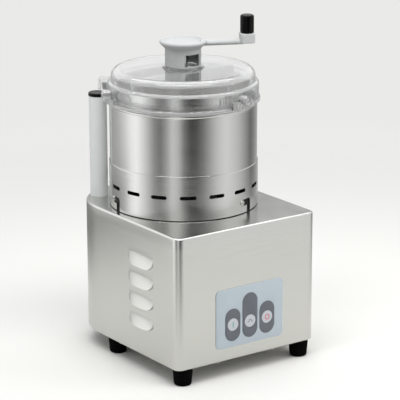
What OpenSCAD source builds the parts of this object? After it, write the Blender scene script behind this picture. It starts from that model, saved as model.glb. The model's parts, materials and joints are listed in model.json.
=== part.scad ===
// Bench food chopper: a folded stainless housing on four rubber feet, a bayonet bowl with two
// sickle blades, a clear lid, and a hand crank that turns a wall scraper inside the bowl.
// Millimetres. X runs along the front panel, +Y is the rear, +Z is up, and the floor is z = 0.

/* [Housing] */
// Width of the housing across the front panel
body_w = 250; // [240:1:300]
// Depth of the housing from the front panel to the rear wall
body_d = 302; // [290:1:360]
// Height of the folded sheet housing
body_h = 200; // [196:1:240]
// Thickness of the stainless sheet
sheet = 1.5; // [1:0.1:2]
// Outside radius of the two front upright corners
front_r = 12; // [8:1:20]
// Outside radius of the two rear upright corners
rear_r = 88; // [70:1:95]
// Outside radius of the fold along the top and bottom edges
fold_r = 3; // [2.2:0.1:5]
// Width of the flange turned in along the bottom edge
flange_w = 10; // [6:0.5:14]
// Thickness of the steel plate that closes the housing from below
floor_plate_t = 2; // [1.5:0.1:4]

/* [Feet] */
// Height of a rubber foot
foot_h = 25; // [18:1:40]
// Radius of a foot at its top
foot_r = 15; // [12:0.5:18]
// Distance of the front feet from the front panel
foot_front_inset = 15; // [15:0.5:30]
// Distance of every foot from the side wall
foot_side_inset = 19; // [16:0.5:30]
// Distance between the front and the rear feet
foot_pitch = 171; // [140:1:180]

/* [Louvres] */
// Length of one pressed louvre
louvre_len = 62; // [40:1:76]
// Height of one pressed louvre
louvre_h = 22; // [16:0.5:26]
// How far the lower lip of a louvre stands out from the wall
louvre_out = 6; // [3:0.5:9]
// Distance between one louvre and the next
louvre_pitch = 31; // [28:0.5:36]
// Number of louvres in one side wall
louvre_count = 4; // [2:1:4]
// Height of the lowest louvre's middle above the bottom of the housing
louvre_low = 53; // [45:1:60]
// Distance from the front panel to the middle of the louvres
louvre_y = 92; // [70:1:110]

/* [Keypad] */
// Width of the keypad plate
keypad_w = 121; // [112:1:130]
// Height of the keypad plate
keypad_h = 90; // [86:1:110]
// Thickness of the keypad plate
keypad_t = 1.2; // [1.2:0.1:3]
// Height of the keypad's middle above the bottom of the housing
keypad_z = 65; // [60:1:90]
// Distance of the keypad's middle from the housing's centre line
keypad_x = 3; // [-10:1:10]
// Distance between neighbouring keys
key_pitch = 31; // [30:0.5:35]
// Radius of a round key
key_r = 9.5; // [6:0.5:11]
// Travel of a key when it is pressed
key_travel = 1; // [0.5:0.1:1]

/* [Bowl] */
// Distance of the bowl axis from the housing's centre line
bowl_x = -2; // [-6:1:6]
// Distance of the bowl axis from the rear wall
bowl_rear = 142; // [138:1:152]
// Outside radius of the bowl jacket
jacket_r = 110; // [106:0.5:114]
// Outside radius of the skirt below the bowl floor
skirt_r = 111.3; // [107.2:0.1:115.5]
// Height from the skirt's lower edge to the bowl floor
bowl_floor_h = 66.5; // [60:0.5:75]
// Height from the skirt's lower edge to the lid's seat
bowl_seat_h = 157; // [145:1:175]
// Height of the narrow neck above the lid's seat
neck_h = 27; // [22:0.5:27]
// Outside radius of the inner pot and its neck
pot_r = 98; // [92:0.5:100]
// Thickness of the bowl's steel
bowl_t = 1.2; // [0.8:0.1:1.5]
// Number of slots round the skirt
slot_count = 16; // [8:1:18]
// Length of one skirt slot
slot_len = 24.5; // [12:0.5:28]
// Height of one skirt slot
slot_h = 5.6; // [4:0.2:8]
// Height of the slots above the skirt's lower edge
slot_z = 34.5; // [32:0.5:42]
// Radius of a bayonet pin
bayonet_pin_r = 4.5; // [3:0.25:5]
// Height of the bayonet pins above the skirt's lower edge
bayonet_z = 15.5; // [12:0.5:19]
// Angle that the bowl turns to free the pins
bayonet_turn = 8.5; // [7:0.5:12]

/* [Lid] */
// Thickness of the clear lid
lid_t = 3; // [2:0.25:4]
// Outside radius of the lid's skirt
lid_skirt_r = 112.4; // [109:0.2:116]
// Outside radius of the lid's drum above the skirt
lid_drum_r = 107.5; // [104:0.5:108.5]
// Radius of the lid's shoulder
lid_shoulder_r = 12; // [8:0.5:16]
// Height of the lid from its lower edge to its flat top
lid_h = 47; // [45:0.5:60]
// Height of the lid's skirt
lid_skirt_h = 28; // [26:0.5:30]
// Radius of the clear collar that the crank turns on
collar_r = 25; // [22:0.5:27]
// Height of the feed window in the collar
window_h = 18; // [10:0.5:19]
// Angle that the feed window spans
window_angle = 60; // [40:5:75]
// Reach of the magnet tab beyond the lid's skirt
tab_reach = 19; // [17:0.5:23]

/* [Crank] */
// Radius of the crank's dished head
head_r = 35; // [32:0.5:40]
// Length of the crank arm from the axis to the knob
crank_len = 96; // [80:1:110]
// Radius of the crank knob
knob_r = 10.25; // [8:0.25:12]
// Height of the crank knob
knob_h = 27; // [22:1:45]
// Radius of the knob's spindle
knob_spindle_r = 4; // [2.5:0.25:5]

/* [Column] */
// Radius of the interlock column
column_r = 13.5; // [12:0.5:15]
// Gap between the column and the bowl's skirt
column_gap = 9.8; // [5:0.2:11]
// Direction of the column from the bowl axis
column_angle = 128; // [122:1:134]

/* [Drive] */
// Radius of the drive shaft
shaft_r = 8.5; // [7:0.25:9]
// Running clearance of the drive shaft in its bearings
shaft_fit = 0.03; // [0.02:0.01:0.08]
// Outside radius of the motor can
can_r = 70; // [62:1:74]
// Radius of the motor rotor
rotor_r = 39.5; // [30:0.5:44]
// Length of the stator core
core_len = 55; // [40:1:60]
// Thickness of a blade
blade_t = 2.5; // [1.5:0.1:3.5]
// Distance from a blade's tip to the pot's wall
blade_tip_gap = 2; // [1:0.1:4]
// Outside radius of the knife hub
hub_r = 21; // [20:0.5:24]
// Distance between the lower and the upper blade
blade_rise = 18; // [12:0.5:22]

/* [Hidden] */

$fn = 96;
overcut = 1;
part_gap = 0.3;
seat_gap = 0.1;

// Levels
bowl_y = body_d / 2 - bowl_rear;
housing_z = foot_h;
top_z = housing_z + body_h;
plate_z = housing_z + sheet;
plate_top_z = plate_z + floor_plate_t;
bowl_z = top_z + 1;
pot_floor_z = bowl_z + bowl_floor_h;
seat_z = bowl_z + bowl_seat_h;
rim_z = seat_z + neck_h;
gasket_t = 1;
lid_z = seat_z + gasket_t + 2 * seat_gap;
lid_top_z = lid_z + lid_h;

// Feet
foot_tip_r = foot_r - 2;
foot_round = 3;
foot_screw_r = 3;
foot_recess_r = 6;
foot_recess_h = 10;
screw_head_r = 5;
screw_head_h = 3.5;
foot_xs = [-1, 1] * (body_w / 2 - foot_side_inset);
foot_ys = [-body_d / 2 + foot_front_inset, -body_d / 2 + foot_front_inset + foot_pitch];
nut_t = 5;
nut_flat_r = 5.8;

// Louvres and the openings of the floor plate
louvre_skin = 0.8 * sheet;
louvre_lip = 0.62 * louvre_h;
mouth_h = 6;
mouth_rise = 4;
mouth_in = 11;
vent_r = 2.5;
vent_pitch = 12;
vent_len = 60;

// Bayonet and slots: angles are measured round the bowl axis from +X
slot_start = -121.4;
entry_angle = -65.5;
pin_angle = entry_angle - bayonet_turn;
pin_play = 0.4;
bayonet_slot_r = bayonet_pin_r + pin_play;
ring_r = skirt_r - bowl_t - 0.5;
ring_t = 8;
ring_h = min(bayonet_z + bayonet_pin_r + 7, slot_z - slot_h / 2);

// Interlock column
column_reach = skirt_r + column_gap + column_r;
column_pos = [
    bowl_x + column_reach * cos(column_angle),
    bowl_y + column_reach * sin(column_angle)
];
column_t = 1.5;
column_top_z = seat_z - 3;
cap_h = 5;
cap_lip = 0.7;
plug_h = 10;
column_plug_h = 16;
column_stud_r = 4;
nut_h = 6.5;
nut_r = 7.5;
stud_end = 3;
cap_round = 1.5;

// Lid
tab_w = 22;
tab_h = 17;
tab_z = lid_z + 7;
tab_round = 5;
magnet_r = 5;
magnet_h = 9;
magnet_reach = lid_skirt_r + tab_reach - magnet_r - 4;
flange_h = 4;
flange_out = 2;
lug_angles = [-76, 44, 164];
lug_span = 22;
lug_pad_h = 11;
lug_t = 5;
lug_boss_r = 6.5;
lug_boss_reach = 13;
lug_rib_reach = 9;
lug_pin_r = 3.2;
lug_z = lid_z + flange_h / 2;
lug_pin_z = lid_z + 15;
lug_pin_in = lid_skirt_r + 1;
lug_ribs = 6;
lug_rib_t = 2;
lid_throat_r = pot_r + 3.4;
skirt_round = 3;
rim_bead_r = 1.8;
pot_corner_r = 7;
pot_ledge = 7;
jacket_bead_r = 2.4;
floor_ledge = 10;
floor_ledge_t = 2;
skirt_cut = 16;
collar_t = 2.5;
collar_rise = 25.7;
collar_foot = 5;
collar_foot_h = 2.5;

// Crank head
tube_in_r = collar_r + part_gap;
tube_out_r = tube_in_r + 1.5;
head_floor_z = lid_top_z + collar_rise + part_gap;
head_floor_t = 3;
head_rim_h = 15.5;
head_rim_z = head_floor_z + head_rim_h;
head_edge = 3;
dish_depth = 4;
dish_in = 7;
dish_wall = 3;
tube_low_z = lid_top_z + collar_foot_h + part_gap;
window_z = tube_low_z + 2;
arm_angle = -26;
arm_h = 7;
arm_drop = 1.9;
arm_z = head_rim_z - arm_drop - arm_h;
arm_root_w = 17;
arm_tip_w = 13;
arm_in = 6;
block_len = 22.5;
block_w = 20;
block_round = 4;
block_h = 14.9;
block_z = arm_z + 1;
block_top_z = block_z + block_h;
spindle_sink = 11;
spindle_fit = 0.05;
knob_end = 5;
knob_round = 3;

// Scraper
rod_r = 7;
rod_sink = 8;
arm_bar_h = 8;
arm_bar_w = 10;
arm_bar_z = rim_z + 3;
wiper_t = 3;
wiper_w = 7;
wall_gap = 0.3;
pot_in_r = pot_r - bowl_t;
wiper_out = pot_in_r - wall_gap;
leg_out = wiper_out - wiper_w;
leg_w = 7;
leg_t = 6;

// Motor and knife
shaft_stand = 10;
fan_stand = 3;
shaft_low_z = plate_top_z + shaft_stand;
fan_z = shaft_low_z + fan_stand;
fan_h = 14;
fan_r = 52;
fan_hub_t = 7;
fan_blades = 9;
fan_plate_t = 2;
fan_tip = 2;
fan_gap = 6;
lower_bearing_z = fan_z + fan_h + fan_gap;
bearing_r = 20;
bearing_w = 12;
bearing_lip = 3;
bearing_seat = 2;
cup_wall = 6;
bell_t = 8;
bell_drop = 6;
lower_bell_z = lower_bearing_z + bell_drop;
can_z = lower_bell_z + bell_t;
winding_h = 14;
winding_clear = 4;
can_h = core_len + 2 * (winding_h + winding_clear);
core_z = can_z + winding_h + winding_clear;
upper_bell_z = can_z + can_h;
can_t = 4;
air_gap = 0.5;
stud_r = 2.5;
stud_edge = 5;
stud_pcd_r = can_r + stud_edge;
bell_r = stud_pcd_r + stud_edge;
stud_nut_r = 1.9 * stud_r;
stud_nut_h = 3;
stud_over = 4;
winding_out = 6;
winding_in = 4;
rotor_ring = 2;
rotor_fin = [10, 3, 5];
rotor_fins = 6;
boss_r = 34;
boss_flange_r = 48;
boss_flange_h = 5;
boss_screw_pcd_r = 41;
boss_screw_r = 2.5;
boss_top_h = 22;
boss_plug_h = 14;
boss_top_z = top_z + boss_top_h;
boss_low_z = top_z - sheet - boss_plug_h;
boss_bore_gap = 2;
boss_nut_h = 3;
seal_r = 15;
seal_h = 8;
upper_bearing_z = boss_low_z;
centre_tube_gap = 4;
centre_tube_t = 1.5;
centre_tube_rise = 48;
centre_tube_sink = 24;
centre_tube_in = shaft_r + centre_tube_gap;
centre_tube_out = centre_tube_in + centre_tube_t;
centre_tube_top = pot_floor_z + centre_tube_rise;
centre_tube_low = pot_floor_z - centre_tube_sink;
tube_collar_w = 8;
hub_in_gap = 0.6;
hub_lift = 3.2;
hub_foot_w = 6;
hub_bore_top = 2;
hub_over = 8;
hub_in_r = centre_tube_out + hub_in_gap;
hub_low_z = pot_floor_z + hub_lift;
hub_foot_r = hub_r + hub_foot_w;
hub_foot_h = 2;
blade_turns = [20, 200];
spacer_step = 1;
lower_blade_z = hub_low_z + hub_foot_h;
upper_blade_z = lower_blade_z + blade_rise;
clamp_z = upper_blade_z + blade_t;
clamp_h = 6;
hub_top_z = centre_tube_top + hub_over;
blade_r = pot_in_r - blade_tip_gap;
blade_bevel = 5;
blade_sweep = 0.42;
blade_back = 0.86;
stub_r = 5;
cap_nut_r = 13;
cap_nut_h = 12;
cap_nut_round = 3;
grip_r = 2.5;
joint_gap = 0.1;
rod_stand = 8;
wiper_gap = 2;
wiper_top_gap = 4;
arm_hub_drop = 6;
arm_hub_over = 8;
rod_low_z = hub_top_z + cap_nut_h + rod_stand;
wiper_low_z = clamp_z + clamp_h + wiper_gap;
wiper_high_z = rim_z - wiper_top_gap;
leg_low_z = wiper_low_z + wiper_gap;
arm_hub_z = arm_bar_z - arm_hub_drop;
arm_hub_h = arm_bar_h + arm_hub_over;
arm_hub_wall = 6;

// Pieces on the floor plate and in the rear wall
floor_screw_r = 2;
floor_screw_in = flange_w - 3;
side_screw_shares = [0.35, 0.83];
floor_head_r = 3.8;
floor_head_h = 1.6;
thread_over = 3;
capacitor_r = 17.5;
capacitor_h = 72;
capacitor_in = [34, 48];
capacitor_pos = [body_w / 2 - capacitor_in[0], -body_d / 2 + capacitor_in[1]];
relay = [46, 36, 50];
relay_step = 6;
relay_in = [20, 30];
relay_pos = [-body_w / 2 + relay_in[0], -body_d / 2 + relay_in[1]];
clip_t = 1.5;
clip_w = 12;
clip_z = 20;
reed = [8, 6, 30];
bush_x = 20;
bush_rise = 35;
bush_z = housing_z + bush_rise;
bush_r = 9;
bush_bore = 4.2;
bush_out = 5;
bush_in = 8;
bush_flange_w = 3;
bush_flange_t = 2;
bush_step = 1;

// Keys
key_mid = [keypad_x, housing_z + keypad_z];
key_row_z = key_mid[1] - 10.5;
keypad_round = 7;
surround_t = 0.5;
surround_r = 13.6;
surround_low = -11.5;
surround_tops = [11, 30, 11];
key_proud = 0.5;
key_cap_t = 1;
key_round = 0.5;
key_stem_r = 3;
key_hole_gap = 1;
stem_end = sheet + 3;
board_gap = 12;
board_t = 1.6;
board_y = -body_d / 2 + sheet + board_gap;
switch_w = 12;
plunger_h = 1.2;
board_in = 6;
board_screw_r = 1.6;
spacer_r = 3.5;
switch_stand = board_gap + sheet - stem_end - key_travel;
front_y = -body_d / 2;

module at_bowl(z = 0) {
    translate([bowl_x, bowl_y, z]) children();
}

module ring(r_out, r_in, h) {
    difference() {
        cylinder(r = r_out, h = h);
        translate([0, 0, -overcut]) cylinder(r = r_in, h = h + 2 * overcut);
    }
}

module radial_rod(r, from, to, angle, z) {
    rotate([0, 0, angle]) translate([from, 0, z]) rotate([0, 90, 0]) cylinder(r = r, h = to - from);
}

// A rectangle with round corners, centred
module round_rect(w, h, r) {
    square([w - 2 * r, h], center = true);
    square([w, h - 2 * r], center = true);
    for (x = [-1, 1], y = [-1, 1]) {
        translate([x * (w / 2 - r), y * (h / 2 - r)]) circle(r);
    }
}

// An upright slot with round ends between two heights
module pill(r, low, high) {
    translate([-r, low + r]) square([2 * r, high - low - 2 * r]);
    translate([0, low + r]) circle(r);
    translate([0, high - r]) circle(r);
}

// The housing's outline seen from above, moved in by inset
module body_outline(inset) {
    translate([-body_w / 2 + inset, -body_d / 2 + front_r])
        square([body_w - 2 * inset, body_d - front_r - rear_r]);
    translate([-body_w / 2 + front_r, -body_d / 2 + inset])
        square([body_w - 2 * front_r, front_r]);
    translate([-body_w / 2 + rear_r, body_d / 2 - rear_r])
        square([body_w - 2 * rear_r, rear_r - inset]);
    for (s = [-1, 1]) {
        translate([s * (body_w / 2 - front_r), -body_d / 2 + front_r]) circle(front_r - inset);
        translate([s * (body_w / 2 - rear_r), body_d / 2 - rear_r]) circle(rear_r - inset);
    }
}

// Section of the folded sheet: wall, top and bottom flange, with reach from wall to centre
module fold_section(reach) {
    translate([reach - sheet, fold_r]) square([sheet, body_h - 2 * fold_r]);
    translate([0, body_h - sheet]) square([reach - fold_r, sheet]);
    translate([reach - flange_w, 0]) square([flange_w - fold_r, sheet]);
    for (up = [0, 1]) {
        translate([reach - fold_r, up * (body_h - 2 * fold_r) + fold_r]) intersection() {
            difference() {
                circle(fold_r);
                circle(fold_r - sheet);
            }
            translate([0, (up - 1) * fold_r]) square(fold_r);
        }
    }
}

module fold_corner(x, y, r, turn) {
    translate([x, y, 0]) rotate([0, 0, turn]) rotate_extrude(angle = 90) fold_section(r);
}

// A straight wall of the housing, running from a point in the direction of turn
module fold_wall(x, y, reach, turn, length) {
    translate([x, y, 0]) rotate([0, 0, turn]) rotate([90, 0, 0])
        translate([0, 0, -length]) linear_extrude(length) fold_section(reach);
}

module folded_sheet() {
    side_len = body_d - front_r - rear_r;
    fold_corner(-body_w / 2 + front_r, -body_d / 2 + front_r, front_r, 180);
    fold_corner(body_w / 2 - front_r, -body_d / 2 + front_r, front_r, 270);
    fold_corner(body_w / 2 - rear_r, body_d / 2 - rear_r, rear_r, 0);
    fold_corner(-body_w / 2 + rear_r, body_d / 2 - rear_r, rear_r, 90);
    fold_wall(body_w / 2 - front_r, -body_d / 2 + front_r, front_r, 0, side_len);
    fold_wall(-body_w / 2 + front_r, body_d / 2 - rear_r, front_r, 180, side_len);
    fold_wall(-body_w / 2 + front_r, -body_d / 2 + front_r, front_r, 270, body_w - 2 * front_r);
    fold_wall(body_w / 2 - rear_r, body_d / 2 - rear_r, rear_r, 90, body_w - 2 * rear_r);
    translate([-body_w / 2 + front_r, -body_d / 2 + front_r, body_h - sheet])
        cube([body_w - 2 * front_r, side_len, sheet]);
}

// Outline of a louvre, a straight upper edge and a rounded lower lip, moved in by inset
module louvre_outline(inset) {
    translate([-louvre_len / 2 + inset, louvre_lip - louvre_h / 2])
        square([louvre_len - 2 * inset, louvre_h - louvre_lip - inset]);
    translate([-louvre_len / 2 + louvre_lip, -louvre_h / 2 + inset])
        square([louvre_len - 2 * louvre_lip, louvre_lip]);
    for (s = [-1, 1]) {
        translate([s * (louvre_len / 2 - louvre_lip), louvre_lip - louvre_h / 2])
            circle(louvre_lip - inset);
    }
}

// One louvre standing out along +X from a wall at x = 0, hollow and open along its lower lip
module louvre_hood() {
    slope = atan(louvre_out / louvre_h);
    intersection() {
        difference() {
            rotate([90, 0, 90]) linear_extrude(louvre_out + overcut) louvre_outline(0);
            translate([-overcut, 0, 0]) rotate([90, 0, 90])
                linear_extrude(louvre_out + 3 * overcut) louvre_outline(louvre_skin);
        }
        louvre_wedge(slope, 0);
    }
    intersection() {
        rotate([90, 0, 90]) linear_extrude(louvre_out + overcut) louvre_outline(0);
        difference() {
            louvre_wedge(slope, 0);
            louvre_wedge(slope, louvre_skin);
        }
    }
}

// The space between the wall and the louvre's sloping face, moved in by inset
module louvre_wedge(slope, inset) {
    translate([0, -louvre_len, 0]) rotate([-90, 0, 0]) linear_extrude(2 * louvre_len)
        polygon([
            [-inset * 2, -louvre_h / 2],
            [0, -louvre_h / 2 + inset / sin(slope)],
            [louvre_out - inset / cos(slope), louvre_h / 2],
            [-inset * 2, louvre_h / 2]
        ]);
}

// Places children on both side walls, once for each louvre, facing outwards
module at_louvres() {
    for (s = [0, 1], i = [0 : louvre_count - 1]) {
        mirror([s, 0, 0]) translate([
            body_w / 2,
            -body_d / 2 + louvre_y,
            housing_z + louvre_low + i * louvre_pitch
        ]) children();
    }
}

module housing_shell() {
    color("#c9c9c2") difference() {
        union() {
            translate([0, 0, housing_z]) folded_sheet();
            at_louvres() translate([-sheet / 2, 0, 0]) louvre_hood();
        }
        at_louvres() translate([-sheet - overcut, 0, mouth_rise - louvre_h / 2])
            rotate([90, 0, 90]) linear_extrude(sheet + overcut + seat_gap)
                square([louvre_len - 2 * mouth_in, mouth_h], center = true);
        at_bowl(top_z - sheet - overcut) cylinder(r = boss_r + part_gap, h = sheet + 2 * overcut);
        at_boss_screws() translate([0, 0, top_z - sheet - overcut])
            cylinder(r = boss_screw_r + part_gap, h = sheet + 2 * overcut);
        at_column(top_z - sheet - overcut)
            cylinder(r = column_stud_r + part_gap, h = sheet + 2 * overcut);
        at_keys() translate([0, sheet + overcut, 0]) rotate([90, 0, 0])
            cylinder(r = key_stem_r + key_hole_gap, h = sheet + 2 * overcut);
        translate([bush_x, body_d / 2 - sheet - overcut, bush_z]) rotate([-90, 0, 0])
            cylinder(r = bush_r, h = sheet + 2 * overcut);
        at_floor_screws() translate([0, 0, housing_z - overcut])
            cylinder(r = floor_screw_r + part_gap, h = sheet + 2 * overcut);
    }
}

// Screws through the bottom flange: two at the front, two between the feet at each side and one
// at the rear
module at_floor_screws() {
    for (s = [-1, 1]) {
        translate([s * body_w / 5, -body_d / 2 + floor_screw_in, 0]) children();
        for (share = side_screw_shares) {
            translate([s * (body_w / 2 - floor_screw_in), foot_ys[0] + share * foot_pitch, 0])
                children();
        }
    }
    translate([0, body_d / 2 - floor_screw_in, 0]) children();
}

module floor_plate() {
    color("#8f9294") difference() {
        translate([0, 0, plate_z]) linear_extrude(floor_plate_t)
            body_outline(fold_r + part_gap);
        for (x = foot_xs, y = foot_ys) {
            translate([x, y, plate_z - overcut])
                cylinder(r = foot_screw_r + part_gap, h = floor_plate_t + 2 * overcut);
        }
        for (i = [-4 : 4]) {
            at_bowl() translate([i * vent_pitch, 0, plate_z - overcut])
                linear_extrude(floor_plate_t + 2 * overcut) pill(vent_r, -vent_len / 2, vent_len / 2);
        }
        at_floor_screws() translate([0, 0, plate_z - overcut])
            cylinder(r = floor_screw_r + joint_gap, h = floor_plate_t + 2 * overcut);
    }
}

module floor_plate_screws() {
    color("#9a9a96") at_floor_screws() {
        translate([0, 0, housing_z - floor_head_h]) cylinder(r = floor_head_r, h = floor_head_h);
        translate([0, 0, housing_z - seat_gap])
            cylinder(r = floor_screw_r, h = sheet + floor_plate_t + thread_over);
    }
}

module foot() {
    difference() {
        rotate_extrude() difference() {
            union() {
                polygon([
                    [0, 0], [foot_tip_r - foot_round, 0], [foot_tip_r, foot_round],
                    [foot_r, foot_h], [0, foot_h]
                ]);
                translate([foot_tip_r - foot_round, foot_round]) circle(foot_round);
            }
            translate([-foot_r, -foot_r]) square([foot_r, 3 * foot_r]);
            square([foot_recess_r, foot_recess_h]);
        }
        cylinder(r = foot_screw_r + part_gap, h = foot_h + overcut);
    }
}

module feet() {
    color("#1c1c1c") for (x = foot_xs, y = foot_ys) translate([x, y, 0]) foot();
}

module foot_screws() {
    color("#9a9a96") for (x = foot_xs, y = foot_ys) translate([x, y, 0]) {
        translate([0, 0, foot_recess_h - screw_head_h]) cylinder(r = screw_head_r, h = screw_head_h);
        translate([0, 0, foot_recess_h - seat_gap])
            cylinder(r = foot_screw_r, h = plate_top_z + nut_t + seat_gap + 1 - foot_recess_h);
        translate([0, 0, plate_top_z]) cylinder(r = nut_flat_r, h = nut_t, $fn = 6);
    }
}

// Ring on the top of the housing that centres the bowl and holds the bayonet pins
module locating_ring() {
    color("#a9a9a6") at_bowl() difference() {
        translate([0, 0, top_z]) ring(ring_r, ring_r - ring_t, ring_h);
        for (k = [0 : 2]) {
            radial_rod(bayonet_pin_r + joint_gap, ring_r - 2 * ring_t, ring_r + 1,
                pin_angle + 120 * k, bowl_z + bayonet_z);
        }
    }
}

module bayonet_pins() {
    color("#dedede") at_bowl() for (k = [0 : 2]) {
        radial_rod(bayonet_pin_r, ring_r - ring_t, skirt_r + 0.8,
            pin_angle + 120 * k, bowl_z + bayonet_z);
    }
}

module at_boss_screws() {
    at_bowl() for (k = [0 : 3]) {
        rotate([0, 0, 45 + 90 * k]) translate([boss_screw_pcd_r, 0, 0]) children();
    }
}

module drive_boss() {
    color("#b8babc") difference() {
        at_bowl() difference() {
            union() {
                translate([0, 0, boss_low_z]) cylinder(r = boss_r, h = boss_top_z - boss_low_z);
                translate([0, 0, top_z]) cylinder(r = boss_flange_r, h = boss_flange_h);
            }
            translate([0, 0, boss_low_z - overcut])
                cylinder(r = bearing_r + joint_gap, h = bearing_w + overcut);
            translate([0, 0, boss_low_z]) cylinder(r = shaft_r + boss_bore_gap, h = 2 * boss_top_z);
            translate([0, 0, boss_top_z - seal_h])
                cylinder(r = seal_r + joint_gap, h = seal_h + overcut);
        }
        at_boss_screws() translate([0, 0, top_z - overcut])
            cylinder(r = boss_screw_r + joint_gap, h = boss_flange_h + 2 * overcut);
    }
}

module boss_screws() {
    color("#9a9a96") at_boss_screws() {
        translate([0, 0, top_z - sheet - boss_nut_h - overcut])
            cylinder(r = boss_screw_r, h = boss_flange_h + sheet + boss_nut_h + 2 * overcut);
        translate([0, 0, top_z + boss_flange_h]) cylinder(r = 2 * boss_screw_r, h = boss_nut_h);
        translate([0, 0, top_z - sheet - boss_nut_h])
            cylinder(r = 2 * boss_screw_r, h = boss_nut_h, $fn = 6);
    }
}

module shaft_seal() {
    color("#2a2a2a") at_bowl(boss_top_z - seal_h) ring(seal_r, shaft_r + shaft_fit, seal_h);
}

module upper_bearing() {
    color("#c0c0c0") at_bowl(upper_bearing_z) ring(bearing_r, shaft_r + shaft_fit, bearing_w);
}

module at_studs() {
    at_bowl() for (k = [0 : 3]) {
        rotate([0, 0, 90 * k]) translate([stud_pcd_r, 0, 0]) children();
    }
}

// Round plate of an end cover of the motor
module bell_plate(z) {
    at_bowl(z) ring(bell_r, bearing_r + joint_gap, bell_t);
}

module upper_end_bell() {
    color("#7e8286") difference() {
        union() {
            bell_plate(upper_bell_z);
            at_bowl(upper_bell_z + bell_t)
                ring(boss_r, bearing_r + joint_gap, boss_low_z - upper_bell_z - bell_t);
        }
        at_studs() translate([0, 0, upper_bell_z - overcut])
            cylinder(r = stud_r + joint_gap, h = bell_t + 2 * overcut);
    }
}

module lower_end_bell() {
    color("#7e8286") difference() {
        union() {
            bell_plate(lower_bell_z);
            at_bowl(lower_bearing_z) difference() {
                cylinder(r = bearing_r + cup_wall, h = lower_bell_z - lower_bearing_z);
                translate([0, 0, bearing_seat]) cylinder(r = bearing_r + joint_gap, h = bearing_w);
                translate([0, 0, -overcut])
                    cylinder(r = bearing_r - bearing_lip, h = bearing_seat + 2 * overcut);
            }
        }
        at_studs() translate([0, 0, lower_bell_z - overcut])
            cylinder(r = stud_r + joint_gap, h = bell_t + 2 * overcut);
    }
}

module lower_bearing() {
    color("#c0c0c0") at_bowl(lower_bearing_z + bearing_seat)
        ring(bearing_r, shaft_r + shaft_fit, bearing_w);
}

module motor_can() {
    color("#5d6267") at_bowl(can_z) ring(can_r, can_r - can_t, can_h);
}

module stator_core() {
    color("#6d6f70") at_bowl(core_z) ring(can_r - can_t - joint_gap, rotor_r + air_gap, core_len);
}

module stator_windings() {
    color("#b06a35") at_bowl() for (z = [core_z - winding_h, core_z + core_len]) {
        translate([0, 0, z]) ring(can_r - can_t - winding_out, rotor_r + winding_in, winding_h);
    }
}

module motor_studs() {
    color("#9a9a96") at_studs() {
        translate([0, 0, lower_bell_z - stud_over])
            cylinder(r = stud_r, h = upper_bell_z + bell_t + 2 * stud_over - lower_bell_z);
        for (z = [lower_bell_z - stud_nut_h, upper_bell_z + bell_t]) {
            translate([0, 0, z]) cylinder(r = stud_nut_r, h = stud_nut_h, $fn = 6);
        }
    }
}

module at_column(z) {
    translate([column_pos[0], column_pos[1], z]) children();
}

module column_tube() {
    color("#c4c6c6") at_column(top_z) ring(column_r, column_r - column_t, column_top_z - top_z);
}

// Plug in the foot of the column, with the stud that holds it to the housing
module column_stud() {
    color("#9a9a96") at_column(top_z) {
        cylinder(r = column_r - column_t - joint_gap, h = column_plug_h);
        translate([0, 0, -sheet - nut_h - stud_end])
            cylinder(r = column_stud_r, h = sheet + nut_h + stud_end + overcut);
    }
}

module column_nut() {
    color("#9a9a96") at_column(top_z - sheet - nut_h) difference() {
        cylinder(r = nut_r, h = nut_h, $fn = 6);
        translate([0, 0, -overcut]) cylinder(r = column_stud_r + joint_gap, h = nut_h + 2 * overcut);
    }
}

module column_cap() {
    color("#191919") at_column(column_top_z) {
        translate([0, 0, -plug_h])
            cylinder(r = column_r - column_t - joint_gap, h = plug_h + overcut);
        rotate_extrude() {
            square([column_r + cap_lip, cap_h - cap_round]);
            square([column_r + cap_lip - cap_round, cap_h]);
            translate([column_r + cap_lip - cap_round, cap_h - cap_round]) circle(cap_round);
        }
    }
}

module reed_switch() {
    color("#3f6f4f") at_column(column_top_z - plug_h - reed[2] / 2) cube(reed, center = true);
}

module at_keys() {
    for (i = [-1 : 1]) {
        translate([key_mid[0] + i * key_pitch, front_y, key_row_z]) children();
    }
}

module keypad_plate() {
    color("#b7c3ca") difference() {
        translate([key_mid[0], front_y, key_mid[1]]) rotate([90, 0, 0])
            linear_extrude(keypad_t) round_rect(keypad_w, keypad_h, keypad_round);
        at_keys() translate([0, overcut, 0]) rotate([90, 0, 0])
            cylinder(r = key_r + part_gap, h = keypad_t + 2 * overcut);
    }
}

// Dark raised pad round each key, the middle one taller
module key_surrounds() {
    color("#5a5f66") for (i = [0 : 2]) {
        translate([key_mid[0] + (i - 1) * key_pitch, front_y - keypad_t, key_row_z])
            rotate([90, 0, 0]) linear_extrude(surround_t) difference() {
                pill(surround_r, surround_low - surround_r, surround_tops[i] + surround_r);
                circle(key_r + part_gap);
            }
    }
}

// A key cap with its stem, which runs through the sheet to its switch
module key(i, tint) {
    back = keypad_t + surround_t + key_proud - key_cap_t;
    color(tint) translate([key_mid[0] + i * key_pitch, front_y, key_row_z]) rotate([90, 0, 0]) {
        translate([0, 0, back]) rotate_extrude() {
            square([key_r, key_cap_t - key_round]);
            square([key_r - key_round, key_cap_t]);
            translate([key_r - key_round, key_cap_t - key_round]) circle(key_round);
        }
        translate([0, 0, -stem_end]) cylinder(r = key_stem_r, h = stem_end + back + key_cap_t / 2);
    }
}

module start_key() {
    key(-1, "#c2d4d3");
}

module pulse_key() {
    key(0, "#c6c9d0");
}

module stop_key() {
    key(1, "#d6c6ca");
}

module key_board() {
    color("#2e6b45") translate([key_mid[0], board_y, key_mid[1]]) rotate([-90, 0, 0])
        linear_extrude(board_t) difference() {
            square([keypad_w - 2 * board_in, keypad_h - 2 * board_in], center = true);
            at_board_corners() circle(board_screw_r + joint_gap);
        }
}

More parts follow.
